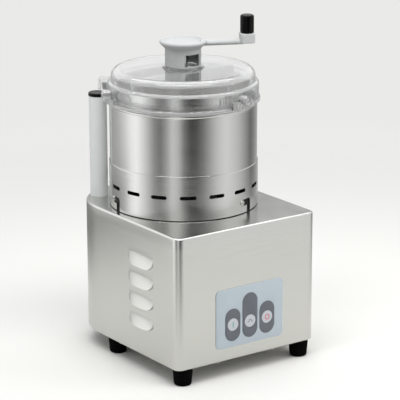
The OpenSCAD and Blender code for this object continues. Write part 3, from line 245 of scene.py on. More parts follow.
# Screen-printed ink: a soft, slightly uneven colour. The screen's 0.1 mm mesh is drawn at 0.4 mm.
MARK_GREEN = dull_skin("screen_ink_green", "#5FA8A0", 0.5, 0.4, 0.05)
MARK_GREY = dull_skin("screen_ink_grey", "#878B95", 0.5, 0.4, 0.05)
MARK_RED = dull_skin("screen_ink_red", "#CF7585", 0.5, 0.4, 0.05)
# Solder resist on the circuit board: glossy dark green over a 0.6 mm weave.
BOARD = dull_skin("solder_resist_green", "#2E6B45", 0.4)


# Meshes

def smooth(mesh, angle=35):
    """Shades a mesh smooth, but keeps each edge sharper than angle."""
    mesh.shade_smooth()
    limit = math.radians(angle)
    edit = bmesh.new()
    edit.from_mesh(mesh)
    for edge in edit.edges:
        edge.smooth = len(edge.link_faces) == 2 and edge.calc_face_angle(0) < limit
    edit.to_mesh(mesh)
    edit.free()


def outward(edit):
    """Merges doubles and turns every face outwards."""
    bmesh.ops.remove_doubles(edit, verts=edit.verts, dist=1e-7)
    bmesh.ops.recalc_face_normals(edit, faces=edit.faces)


def piece(name, mesh, *materials):
    obj = bpy.data.objects.new(name, mesh)
    bpy.context.scene.collection.objects.link(obj)
    mesh.materials.clear()
    for material in materials:
        mesh.materials.append(material)
    return obj


def finished(obj, angle=35):
    """Replaces an object's mesh by what its modifiers make of it."""
    graph = bpy.context.evaluated_depsgraph_get()
    graph.update()
    mesh = bpy.data.meshes.new_from_object(obj.evaluated_get(graph))
    old = obj.data
    obj.modifiers.clear()
    obj.data = mesh
    bpy.data.meshes.remove(old)
    if angle:
        smooth(mesh, angle)
    return obj


def lathe(name, profile, material, steps=192, centre=AXIS, angle=35):
    """Turns a closed profile of (radius, height) points, in millimetres, round the bowl's axis."""
    edit = bmesh.new()
    rings = []
    for r, z in profile:
        if r < 1e-6:
            rings.append([edit.verts.new((centre[0] * MM, centre[1] * MM, z * MM))] * steps)
            continue
        rings.append([edit.verts.new(((centre[0] + r * math.cos(2 * math.pi * k / steps)) * MM,
                                      (centre[1] + r * math.sin(2 * math.pi * k / steps)) * MM, z * MM))
                      for k in range(steps)])
    for a, b in zip(rings, rings[1:] + rings[:1]):
        for k in range(steps):
            corners = []
            for v in (a[k], a[(k + 1) % steps], b[(k + 1) % steps], b[k]):
                if v not in corners:
                    corners.append(v)
            if len(corners) > 2:
                edit.faces.new(corners)
    outward(edit)
    mesh = bpy.data.meshes.new(name)
    edit.to_mesh(mesh)
    edit.free()
    smooth(mesh, angle)
    return piece(name, mesh, material)


def rounded(points, radii, steps=5):
    """Rounds the corners of a closed outline; radii is one number or one for each corner."""
    out = []
    count = len(points)
    for i, (x, y) in enumerate(points):
        r = radii[i] if isinstance(radii, (list, tuple)) else radii
        before, after = Vector(points[i - 1]), Vector(points[(i + 1) % count])
        here = Vector((x, y))
        a, b = (before - here), (after - here)
        if r <= 0 or a.length < 1e-9 or b.length < 1e-9:
            out.append((x, y))
            continue
        half = a.angle(b) / 2
        cut = min(r / math.tan(half), a.length * 0.49, b.length * 0.49)
        r = cut * math.tan(half)
        a.normalize()
        b.normalize()
        centre = here + (a + b).normalized() * (r / math.sin(half))
        start, end = here + a * cut - centre, here + b * cut - centre
        turn = start.angle_signed(end)
        for k in range(steps + 1):
            t = turn * k / steps
            c, s = math.cos(t), math.sin(t)
            out.append((centre.x + start.x * c + start.y * s, centre.y - start.x * s + start.y * c))
    return out


def prism(edit, outline, place, depth):
    """Extrudes an outline by depth; place turns (x, y, height) millimetres into a point."""
    low = [edit.verts.new(place(x, y, 0)) for x, y in outline]
    high = [edit.verts.new(place(x, y, depth)) for x, y in outline]
    edit.faces.new(low[::-1])
    edit.faces.new(high)
    count = len(outline)
    for i in range(count):
        edit.faces.new((low[i], low[(i + 1) % count], high[(i + 1) % count], high[i]))


def join_mesh(name, build):
    """A mesh of what build adds to it."""
    edit = bmesh.new()
    build(edit)
    outward(edit)
    mesh = bpy.data.meshes.new(name)
    edit.to_mesh(mesh)
    edit.free()
    return mesh


def cut(obj, cutter, operation="DIFFERENCE"):
    """Cuts another piece out of this one, or welds it on, and uses it up."""
    step = obj.modifiers.new("cut", "BOOLEAN")
    step.operation, step.solver, step.object = operation, "EXACT", cutter
    step.use_self = operation == "UNION"
    finished(obj, 0)
    bpy.data.objects.remove(cutter)
    return obj


def soften(obj, width_mm, segments=3, angle=35):
    """Rounds the edges sharper than angle, as a deburred sheet's or a moulding's are."""
    step = obj.modifiers.new("soften", "BEVEL")
    step.width, step.segments, step.limit_method = width_mm * MM, segments, "ANGLE"
    step.angle_limit = math.radians(angle)
    step.miter_outer = "MITER_ARC"
    return finished(obj, angle)


def dress(node, material, width_mm=0.0):
    """A copy of a node's mesh with clean faces and softened edges, which stands for the node."""
    mesh = frame["nodes"][node].data.copy()
    edit = bmesh.new()
    edit.from_mesh(mesh)
    bmesh.ops.remove_doubles(edit, verts=edit.verts, dist=1e-6)
    bmesh.ops.dissolve_limit(edit, angle_limit=math.radians(0.5), verts=edit.verts, edges=edit.edges)
    edit.to_mesh(mesh)
    edit.free()
    obj = piece(node + "_dressed", mesh, material)
    if width_mm:
        soften(obj, width_mm, 2)
    else:
        smooth(mesh)
    stand_for(obj, node)
    return obj


def copies_round(name, mesh, material, count, first, pitch, per_group=0, group_pitch=0.0):
    """Geometry Nodes: copies of a mesh made at angle 0, set round the bowl's axis in one run or in groups."""
    tree = bpy.data.node_groups.new(name, "GeometryNodeTree")
    entries = {}
    for label, kind, value in (
            ("Shape", "Geometry", None), ("Count", "Int", count), ("First angle", "Float", math.radians(first)),
            ("Pitch", "Float", math.radians(pitch)), ("Per group", "Int", per_group or count),
            ("Group pitch", "Float", math.radians(group_pitch)), ("Finish", "Material", material)):
        entry = tree.interface.new_socket(name=label, in_out="INPUT", socket_type="NodeSocket" + kind)
        entries[entry.identifier] = value
    tree.interface.new_socket(name="Copies", in_out="OUTPUT", socket_type="NodeSocketGeometry")
    given = add(tree, "NodeGroupInput").outputs
    index = add(tree, "GeometryNodeInputIndex").outputs[0]
    place = add(tree, "Math", [(0, index), (1, given["Per group"])], operation="MODULO").outputs[0]
    group = add(tree, "Math", [(0, index), (1, given["Per group"])], operation="DIVIDE").outputs[0]
    group = add(tree, "Math", [(0, group)], operation="FLOOR").outputs[0]
    angle = add(tree, "Math", [(0, place), (1, given["Pitch"]), (2, given["First angle"])],
                operation="MULTIPLY_ADD").outputs[0]
    angle = add(tree, "Math", [(0, group), (1, given["Group pitch"]), (2, angle)],
                operation="MULTIPLY_ADD").outputs[0]
    euler = add(tree, "CombineXYZ", [(2, angle)]).outputs[0]
    turn = add(tree, "FunctionNodeEulerToRotation", [(0, euler)]).outputs[0]
    points = add(tree, "GeometryNodePoints", [
        ("Count", given["Count"]), ("Position", (AXIS[0] * MM, AXIS[1] * MM, 0))]).outputs[0]
    put = add(tree, "GeometryNodeInstanceOnPoints", [
        ("Points", points), ("Instance", given["Shape"]), ("Rotation", turn)]).outputs[0]
    real = add(tree, "GeometryNodeRealizeInstances", [("Geometry", put)]).outputs[0]
    done = add(tree, "GeometryNodeSetMaterial", [("Geometry", real), ("Material", given["Finish"])]).outputs[0]
    tree.links.new(done, add(tree, "NodeGroupOutput").inputs[0])
    obj = piece(name, mesh, material)
    step = obj.modifiers.new("copies", "NODES")
    step.node_group = tree
    for identifier, value in entries.items():
        if value is not None:
            step[identifier] = value
    finished(obj, 0)
    bpy.data.node_groups.remove(tree)
    return obj


def at_zero(x, y, d, r):
    """A place r + d out from the bowl's axis, with x wrapped round it and height y."""
    a = x / r
    return Vector(((r + d) * math.cos(a) * MM, (r + d) * math.sin(a) * MM, y * MM))


def stand_for(obj, *nodes):
    """The piece takes the place of the CAD's nodes and moves with them."""
    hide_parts(*nodes)
    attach(obj, frame["nodes"][nodes[0]]["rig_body"])


def about(angle_deg, r, z, centre=AXIS):
    a = math.radians(angle_deg)
    return Vector(((centre[0] + r * math.cos(a)) * MM, (centre[1] + r * math.sin(a)) * MM, z * MM))


def from_axis(x, y, z):
    return Vector(((AXIS[0] + x) * MM, (AXIS[1] + y) * MM, z * MM))


def arc_points(r, start, end, step, x=0.0, y=0.0):
    """Points on a circle of radius r about (x, y), by whole degrees."""
    return [(x + r * math.cos(math.radians(a)), y + r * math.sin(math.radians(a))) for a in range(start, end, step)]


def feed_window(r_in, r_out, step):
    """Cutter for the feed window: a sector of 60 degrees that faces the front of the machine."""
    outline = arc_points(r_in, -120, -59, 60) + arc_points(r_out, -60, -121, -step)
    return lambda edit: prism(edit, outline, lambda x, y, d: from_axis(x, y, WINDOW_Z + d), WINDOW_H)


# Housing: one folded sheet with pressed louvres

BODY_W, BODY_D, FRONT_R, REAR_R, FOLD_R, SHEET = 250.0, 302.0, 12.0, 88.0, 3.0, 1.2
LOUVRE_HALF, LOUVRE_H, LOUVRE_OUT, LOUVRE_PITCH = 31.5, 20.0, 6.0, 31.0
LOUVRE_Y = -57.5  # middle of the louvres, along the side wall
LOUVRE_TOPS = [89.0 + k * LOUVRE_PITCH for k in range(4)]
MOUTH_HALF = 24.0  # half the width of a louvre's open mouth


def louvre_drop(u):
    """Depth of a louvre below its straight upper edge, at u along it."""
    t = min(abs(u) / LOUVRE_HALF, 1.0)
    return LOUVRE_H * (1 - t ** 5) ** (1 / 2.6)


def louvre_side(u):
    """How far a louvre stands out at u along it, as a share of its middle."""
    t = min(abs(u) / LOUVRE_HALF, 1.0)
    return (1 - t ** 2.6) ** 0.65


def housing_columns():
    """Outline of the housing seen from above: point, outward direction, and place along a louvre."""
    columns = []
    side_low, side_high = -BODY_D / 2 + FRONT_R, BODY_D / 2 - REAR_R
    fine = [LOUVRE_Y - LOUVRE_HALF - 1 + k for k in range(int(2 * LOUVRE_HALF) + 3)]
    ys = sorted([side_low, -105.0, *fine, -20.0, 10.0, 35.0, side_high])
    for y in ys:
        columns.append(((BODY_W / 2, y), (1, 0), y - LOUVRE_Y))
    arc(columns, BODY_W / 2 - REAR_R, BODY_D / 2 - REAR_R, REAR_R, 0, 90, 24)
    for x in (30, 0, -30):
        columns.append(((x, BODY_D / 2), (0, 1), None))
    arc(columns, -BODY_W / 2 + REAR_R, BODY_D / 2 - REAR_R, REAR_R, 90, 180, 24)
    for y in ys[::-1]:
        columns.append(((-BODY_W / 2, y), (-1, 0), y - LOUVRE_Y))
    arc(columns, -BODY_W / 2 + FRONT_R, -BODY_D / 2 + FRONT_R, FRONT_R, 180, 270, 14)
    for x in (-90, -60, -30, 0, 30, 60, 90):
        columns.append(((x, -BODY_D / 2), (0, -1), None))
    arc(columns, BODY_W / 2 - FRONT_R, -BODY_D / 2 + FRONT_R, FRONT_R, 270, 360, 14)
    clean = []
    for c in columns:
        if not clean or math.dist(c[0], clean[-1][0]) > 1e-4:
            clean.append(c)
    return clean


def arc(columns, x, y, r, start, end, steps):
    for k in range(steps + 1):
        a = math.radians(start + (end - start) * k / steps)
        columns.append(((x + r * math.cos(a), y + r * math.sin(a)), (math.cos(a), math.sin(a)), None))


def housing_rows():
    """Rows of the wall from below: kind, and height or place in a louvre."""
    rows = [("flange", 10.0)]
    for k in range(7):
        a = math.radians(90 * k / 6)
        rows.append(("low", a))
    for z in (35.0, 45.0, 55.0):
        rows.append(("wall", z))
    for top in LOUVRE_TOPS:
        rows += [("under", top, 1.0), ("under", top, 0.5), ("mouth", top), ("inner", top)]
        rows += [("hood", top, t / 14) for t in range(14, -1, -1)]
    rows += [("wall", z) for z in (190.0, 205.0)]
    for k in range(7):
        a = math.radians(90 * k / 6)
        rows.append(("high", a))
    rows += [("inset", 1.5), ("inset", 5.0)]
    return rows


def housing_point(column, row):
    """Where a column of the outline meets a row of the wall."""
    (x, y), (nx, ny), u = column
    out, z = 0.0, 0.0
    kind = row[0]
    drop = louvre_drop(u) if u is not None and abs(u) < LOUVRE_HALF else 0.0
    side = louvre_side(u) if u is not None else 0.0
    if kind == "flange":
        out, z = -row[1], 25.0
    elif kind == "low":
        out, z = FOLD_R * (math.sin(row[1]) - 1), 25.0 + FOLD_R * (1 - math.cos(row[1]))
    elif kind == "high":
        out, z = FOLD_R * (math.cos(row[1]) - 1), TOP - FOLD_R * (1 - math.sin(row[1]))
    elif kind == "wall":
        z = row[1]
    elif kind == "inset":
        out, z = -FOLD_R - row[1], TOP
    elif kind == "under":
        z = row[1] - max(drop, 4.0) - 1.6 - 3.4 * row[2]
    elif kind == "mouth":
        z = row[1] - max(drop, 4.0) - 1.2
    elif kind == "inner":
        z = row[1] - max(drop, 4.0) - 0.4
        out = LOUVRE_OUT * side * 0.93
    else:
        t = row[2]
        z = row[1] - max(drop, 4.0) * t
        out = LOUVRE_OUT * side * t ** 1.5 * (1.25 - 0.25 * t)
    return Vector(((x + nx * out) * MM, (y + ny * out) * MM, z * MM))


def make_housing():
    columns, rows = housing_columns(), housing_rows()
    edit = bmesh.new()
    grid = [[edit.verts.new(housing_point(c, r)) for c in columns] for r in rows]
    count = len(columns)
    for j in range(len(rows) - 1):
        for i in range(count):
            k = (i + 1) % count
            us = columns[i][2], columns[k][2]
            open_here = rows[j][0] == "mouth" and all(u is not None and abs(u) <= MOUTH_HALF for u in us)
            if not open_here:
                edit.faces.new((grid[j][i], grid[j][k], grid[j + 1][k], grid[j + 1][i]))
    boss = []
    for c in columns:
        a = math.atan2(c[0][1] - AXIS[1], c[0][0] - AXIS[0])
        boss.append(edit.verts.new(about(math.degrees(a), 34.3, TOP)))
    for i in range(count):
        k = (i + 1) % count
        edit.faces.new((grid[-1][i], grid[-1][k], boss[k], boss[i]))
    bmesh.ops.remove_doubles(edit, verts=edit.verts, dist=1e-6)
    mesh = bpy.data.meshes.new("housing_folded_sheet")
    edit.to_mesh(mesh)
    edit.free()
    obj = piece("housing_folded_sheet", mesh, HOUSING)
    wall = obj.modifiers.new("wall", "SOLIDIFY")
    wall.thickness, wall.offset = SHEET * MM, -1
    finished(obj, 40)
    stand_for(obj, "housing_shell")


# Bowl: jacket with slots and bayonet ways, inner pot with a rolled rim

BOWL_R, SKIRT_R, BOWL_SHEET = 110.0, 111.3, 1.2
SLOTS, SLOT_FIRST, SLOT_Z, SLOT_HALF, SLOT_H = 16, -121.4, 260.5, 12.25, 5.6
WAYS, WAY_FIRST, WAY_RISE, WAY_RUN, WAY_HALF = 3, -65.5, 15.5, 16.5, 4.9


def make_jacket():
    r, s, t = BOWL_R, SKIRT_R, BOWL_SHEET
    bead = arc_points(2.4, -60, 91, 15, 108.6, 380.6)
    profile = [
        (s, BOWL + 0.4), (s, BOWL + 1.2), (s, POT_FLOOR - 1.8), (s, POT_FLOOR - 0.8), (s - 0.25, POT_FLOOR - 0.15),
        (s - 0.7, POT_FLOOR), (r + 0.05, POT_FLOOR + 0.1), (r, POT_FLOOR + 0.6), (r, POT_FLOOR + 1.6), (r, 376.6),
        (r, 377.4), *bead,
        (98.3, SEAT), (98.3, SEAT - t), (107.4, SEAT - t), (r - t, SEAT - 2 * t - 1), (r - t, POT_FLOOR + 0.1),
        (98.8, POT_FLOOR), (98.8, POT_FLOOR - 2), (s - t, POT_FLOOR - 2), (s - t, BOWL + 0.4),
        (s - t + 0.35, BOWL), (s - 0.35, BOWL)]
    jacket = lathe("bowl_turned_jacket", profile, BOWL_STEEL, 240)

    def slot(edit):
        w, h = SLOT_HALF, SLOT_H / 2
        pill = rounded([(-w, -h), (w, -h), (w, h), (-w, h)], 2.79, 6)
        prism(edit, pill, lambda x, y, d: Vector(((104 + d) * MM, x * MM, (SLOT_Z + y) * MM)), 14)

    def way(edit):
        w = WAY_HALF
        outline = [(w, -20), *arc_points(w, 0, 91, 15), *arc_points(w, 90, 271, 15, -WAY_RUN), (-w, -w), (-w, -20)]
        prism(edit, outline, lambda x, y, d: at_zero(x, BOWL + WAY_RISE + y, d - 7.3, SKIRT_R), 14)
    cut(jacket, copies_round("slot_cutters", join_mesh("slot", slot), BOWL_STEEL, SLOTS, SLOT_FIRST, 360 / SLOTS))
    cut(jacket, copies_round("way_cutters", join_mesh("way", way), BOWL_STEEL, WAYS, WAY_FIRST, 360 / WAYS))
    smooth(jacket.data, 30)
    stand_for(jacket, "bowl_jacket")


def make_pot():
    r, t, f = 98.0, BOWL_SHEET, POT_FLOOR
    corner = [(r - t - 7 + 7 * math.sin(math.radians(a)), f + t + 7 - 7 * math.cos(math.radians(a)))
              for a in range(0, 91, 15)]
    rim = arc_points(1.8, 170, -91, -20, r + 0.6, RIM - 1.8)
    profile = [
        (14.1, f), (14.1, f + t), *corner, (r - t, RIM - 2.6), *rim, (r, RIM - 4.4), (r, RIM - 5.2), (r, SEAT + 1),
        (r, SEAT - t), (105.0, SEAT - t), (105.0, SEAT - 2 * t), (r, SEAT - 2 * t), (r, f + t + 0.4),
        (108.7, f + t), (108.7, f)]
    pot = lathe("bowl_inner_pot", profile, POT_STEEL, 192)
    stand_for(pot, "bowl_pot")


# Lid: one clear moulding with a collar, three lugs and the magnet tab

LUGS, LUG_FIRST = 3, -76.0
LUG_Z = LID + 15.0
RIBS = 7  # on each lug
COLUMN_ANGLE = 128
TAB_HOLE = 122.4  # from the bowl's axis to the magnet


def make_lid():
    skirt, drum, shoulder, t, top = 112.4, 107.5, 12.0, 3.0, 47.0
    profile = [
        (101.4, 0), (113.6, 0), (114.1, 0), (114.4, 0.3), (114.4, 3.4), (113.8, 4.0), (112.9, 4.3), (skirt, 5.0),
        (skirt, 5.7), (skirt, 24.3), (skirt, 25.0), (111.9, 26.7), (110.6, 27.8), (109.0, 28.1), (108.0, 28.7),
        (drum, 30.0), (drum, 30.6), (drum, 34.4), (drum, 35.0),
        *arc_points(shoulder, 8, 90, 8, drum - shoulder, top - shoulder),
        (95.2, top), (94.2, top), (32.0, top), (31.0, top), (30.3, 47.4), (30.0, 48.2), (30.0, 49.1), (29.6, 49.5),
        (25.6, 49.5), (25.1, 50.0), (25.0, 50.6), (25.0, 51.4), (25.0, 71.4), (25.0, 72.2), (24.5, 72.7),
        (23.0, 72.7), (22.5, 72.2), (22.5, 45.0), (23.5, top - t), (24.5, top - t), (94.5, top - t),
        *arc_points(shoulder - t, 90, -1, -10, drum - shoulder, top - shoulder),
        (104.5, 27.5), (105.2, 26.0), (107.0, 25.0), (109.0, 24.6), (109.4, 24.0), (109.4, 23.4), (109.4, 5.0),
        (109.4, 4.4), (109.0, 4.0), (101.4, 4.0)]
    lid = lathe("lid_clear_moulding", [(r, LID + h) for r, h in profile], CLEAR, 240)
    cut(lid, lid_additions(), "UNION")

    def holes(edit):
        feed_window(20, 28, 6)(edit)
        x, y = arc_points(TAB_HOLE, COLUMN_ANGLE, COLUMN_ANGLE + 1, 1)[0]
        hole = [(5.1 * math.cos(2 * math.pi * k / 32), 5.1 * math.sin(2 * math.pi * k / 32)) for k in range(32)]
        prism(edit, hole, lambda px, py, d: from_axis(x + px, y + py, LID + 6 + d), 11)
    cut(lid, piece("holes", join_mesh("holes", holes)))
    pin_hole = join_mesh("pin_hole", lambda edit: rod(edit, 113.4, 140.0, LUG_Z, 3.3, 24))
    cut(lid, copies_round("pin_holes", pin_hole, CLEAR, LUGS, LUG_FIRST, 360 / LUGS))
    smooth(lid.data, 32)
    # milkier copies of the clear finish paint a glow and highlights onto the lid
    for finish in (CLEAR_TOP_HAZE_LIT, CLEAR_RUBBED_AND_LIT, CLEAR_WORN_AND_HIGHLIT):
        lid.data.materials.append(finish)
    for face in lid.data.polygons:
        height = face.center.z / MM - LID
        out = math.hypot(face.center.x / MM - AXIS[0], face.center.y / MM - AXIS[1])
        face.material_index = lid_haze_and_highlight(out, height)
    stand_for(lid, "lid_shell")


def lid_haze_and_highlight(out, height):
    """Which finish a place on the lid has: 0 clear, then ever milkier, partly wear and partly painted light: 1 the
    top with a painted glow, 2 lugs and upper shoulder with more, 3 shoulder, fold and flange with painted
    highlights.
    """
    lug, flange, fold, upper = out > 114.6, height < 4.6, 24.6 < height < 29.0 and out > 104.0, height > 29.0
    shoulder = out > 95.0 and 38.5 < height < 45.5
    if lug:
        return 2
    if flange or fold or shoulder:
        return 3
    if not upper:
        return 0
    return 2 if out > 95.0 else 1


def rod(edit, start, end, z, r, steps):
    """A round bar that runs straight out from the axis at angle 0."""
    circle = [(r * math.cos(2 * math.pi * k / steps), r * math.sin(2 * math.pi * k / steps)) for k in range(steps)]
    prism(edit, circle, lambda x, y, d: Vector(((start + d) * MM, x * MM, (z + y) * MM)), end - start)


def lid_additions():
    """What stands on the lid: three padded lugs, each with a round boss and grip ribs, and the magnet tab."""
    def lug(edit):
        pad = rounded([(-22, 2), (22, 2), (22, 6), (14, 12.5), (-14, 13), (-22, 13)], [0.5, 1, 2, 2, 1.5, 1.5], 4)
        prism(edit, pad, lambda x, y, d: at_zero(x, LID + y, d - 2.8, 114.0), 6.2)
        rod(edit, 111.2, 125.4, LUG_Z, 6.5, 40)

    def rib(edit):
        face = rounded([(-1, 2.4), (1, 2.4), (1, 10.6), (-1, 10.6)], 0.5, 2)
        prism(edit, face, lambda x, y, d: at_zero(x, LID + y, d - 2.8, 114.0), 10.2)

    def tab(edit):
        c, s = math.cos(math.radians(COLUMN_ANGLE)), math.sin(math.radians(COLUMN_ANGLE))
        outline = rounded([(110.9, -11), (131.4, -11), (131.4, 11), (110.9, 11)], [0, 5, 5, 0], 6)
        prism(edit, outline, lambda x, y, d: from_axis(x * c - y * s, x * s + y * c, LID + 7 + d), 17)
    adds = copies_round("lugs", join_mesh("lug", lug), CLEAR, LUGS, LUG_FIRST, 360 / LUGS)
    pitch = math.degrees(40 / (RIBS - 1) / 114.0)
    combine(adds, copies_round("ribs", join_mesh("rib", rib), CLEAR, LUGS * RIBS,
                               LUG_FIRST - (RIBS - 1) / 2 * pitch, pitch, RIBS, 360 / LUGS))
    combine(adds, piece("tab", join_mesh("tab", tab)))
    return adds


# Crank: dished head, arm and block as one moulding, on a tube with the feed window

ARM_STATIONS = ((26.0, 8.5), (40.0, 7.9), (60.0, 7.1), (90.0, 6.3))  # place along the arm, half its width
ARM_Z, ARM_HALF_H = 467.1, 4.6


def make_crank():
    dish = [
        (0.001, 460.2), (24.0, 460.2), (26.8, 460.4), (32.6, 466.0), (34.0, 467.5), (34.8, 468.7), (35.0, 469.6),
        (34.8, 470.7), (34.2, 471.7), (33.2, 472.5), (31.9, 472.8), (30.7, 472.4), (29.5, 471.3), (28.2, 469.8),
        (26.4, 468.9), (24.0, 468.7), (0.001, 468.7)]
    head = lathe("crank_moulded_head", dish, PALE, 160)

    def arm(edit):
        rings = []
        for x, half in ARM_STATIONS:
            ring = []
            for k in range(32):
                c, t = math.cos(math.pi * k / 16), math.sin(math.pi * k / 16)
                ring.append(edit.verts.new(turned(x, half * c, ARM_Z + ARM_HALF_H * t)))
            rings.append(ring)
        for a, b in zip(rings, rings[1:]):
            for k in range(32):
                edit.faces.new((a[k], a[(k + 1) % 32], b[(k + 1) % 32], b[k]))
        edit.faces.new(rings[0][::-1])
        edit.faces.new(rings[-1])
    arm_piece = piece("arm", join_mesh("arm", arm))
    block_outline = rounded([(-11.25, -10), (11.25, -10), (11.25, 10), (-11.25, 10)], 4, 6)

    def block(edit):
        prism(edit, block_outline, lambda x, y, d: turned(CRANK + x, y, 464.8 + d), 14.9)
    block_piece = piece("block", join_mesh("block", block))
    soften(block_piece, 1.2, 3, 50)
    cut(head, arm_piece, "UNION")
    cut(head, block_piece, "UNION")
    step = head.modifiers.new("one_skin", "REMESH")
    step.mode, step.voxel_size = "VOXEL", 0.6 * MM
    ease = head.modifiers.new("ease", "SMOOTH")
    ease.factor, ease.iterations = 0.5, 6
    finished(head, 0)
    head.data.shade_smooth()
    tube = lathe("tube", [(25.3, 434.0), (26.4, 434.0), (26.8, 434.4), (26.8, 461.5), (25.3, 461.5)], PALE, 160)
    cut(tube, piece("window", join_mesh("window", feed_window(22, 30, 4))))
    smooth(tube.data, 30)
    combine(head, tube)
    stand_for(head, "crank_head")

    knob = lathe("crank_turned_knob", [
        (4.05, 480.0), (9.4, 480.0), (9.9, 480.4), (10.25, 481.6), (10.25, 503.6), (10.1, 505.0), (9.6, 506.1),
        (8.7, 506.8), (7.6, 507.0), (7.1, 506.7), (0.001, 506.7), (0.001, 502.0), (4.05, 502.0)],
        BLACK, 96, knob_centre(), 40)
    stand_for(knob, "crank_knob")


def turned(x, y, z):
    """A place given along and across the crank's arm."""
    c, s = math.cos(ARM_ANGLE), math.sin(ARM_ANGLE)
    return from_axis(x * c - y * s, x * s + y * c, z)


def knob_centre():
    return (AXIS[0] + CRANK * math.cos(ARM_ANGLE), AXIS[1] + CRANK * math.sin(ARM_ANGLE))


def combine(obj, other):
    """Adds another piece's mesh to this one without welding it."""
    edit = bmesh.new()
    edit.from_mesh(obj.data)
    edit.from_mesh(other.data)
    edit.to_mesh(obj.data)
    edit.free()
    bpy.data.objects.remove(other)


# Marks on the keys

KEY_FACE, KEY_Z = -153.2, 79.5


def key_mark(name, body, material, x, outlines):
    """A thin printed mark on a key's face."""
    def build(edit):
        for outline in outlines:
            prism(edit, outline, lambda px, pz, d: Vector((
                (x + px) * MM, (KEY_FACE - 0.05 + d) * MM, (KEY_Z + pz) * MM)), 0.06)
    obj = piece(name, join_mesh(name, build), material)
    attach(obj, body)


def ring_parts(r_out, r_in, steps=32):
    """A flat ring in short pieces, as outlines for a key's mark."""
    parts = []
    for k in range(steps):
        a, b = 2 * math.pi * k / steps, 2 * math.pi * (k + 1) / steps
        parts.append([(r_in * math.cos(a), r_in * math.sin(a)), (r_out * math.cos(a), r_out * math.sin(a)),
                      (r_out * math.cos(b), r_out * math.sin(b)), (r_in * math.cos(b), r_in * math.sin(b))])
    return parts


# Floor, backdrop and lights

BACKDROP = "#EAEAE8"
# Brightness of the studio round the object, by angle: what upright metal shows, and what is above it
STUDIO_LOW = (
    (-180, 0.50), (-144, 0.46), (-121, 0.66), (-104, 1.00), (-90, 1.36), (-78, 1.42), (-67, 1.10), (-56, 0.70),
    (-46, 0.34), (-36, 0.20), (-26, 0.47), (-17, 0.84), (-8, 0.66), (1, 0.20), (11, 0.04), (20, 0.06),
    (30, 0.20), (39, 0.41), (49, 0.68), (60, 0.89), (70, 0.98), (82, 0.87), (95, 0.71), (110, 0.45),
    (128, 0.18), (156, 0.45), (180, 0.50))
STUDIO_HIGH = (
    (-180, 0.44), (-140, 0.80), (-112, 1.35), (-80, 1.40), (-52, 0.55), (-28, 0.35), (-18, 0.98), (-7, 0.92),
    (3, 0.30), (12, 0.06), (25, 0.08), (40, 0.35), (72, 1.05), (110, 1.00), (150, 0.50), (180, 0.44))


STUDIO_PEAK = 1.5


def studio_wall(tree, place, stops):
    """Brightness of the studio's wall at a place round the object, as a share of its peak."""
    wall = add(tree, "ValToRGB", [(0, place)])
    marks = wall.color_ramp.elements
    while len(marks) < len(stops):
        marks.new(0.5)
    for mark, (angle, shade) in zip(marks, stops):
        mark.position = angle / 360 + 0.5
        mark.color = (shade / STUDIO_PEAK, shade / STUDIO_PEAK, shade / STUDIO_PEAK, 1)
    return wall.outputs[0]


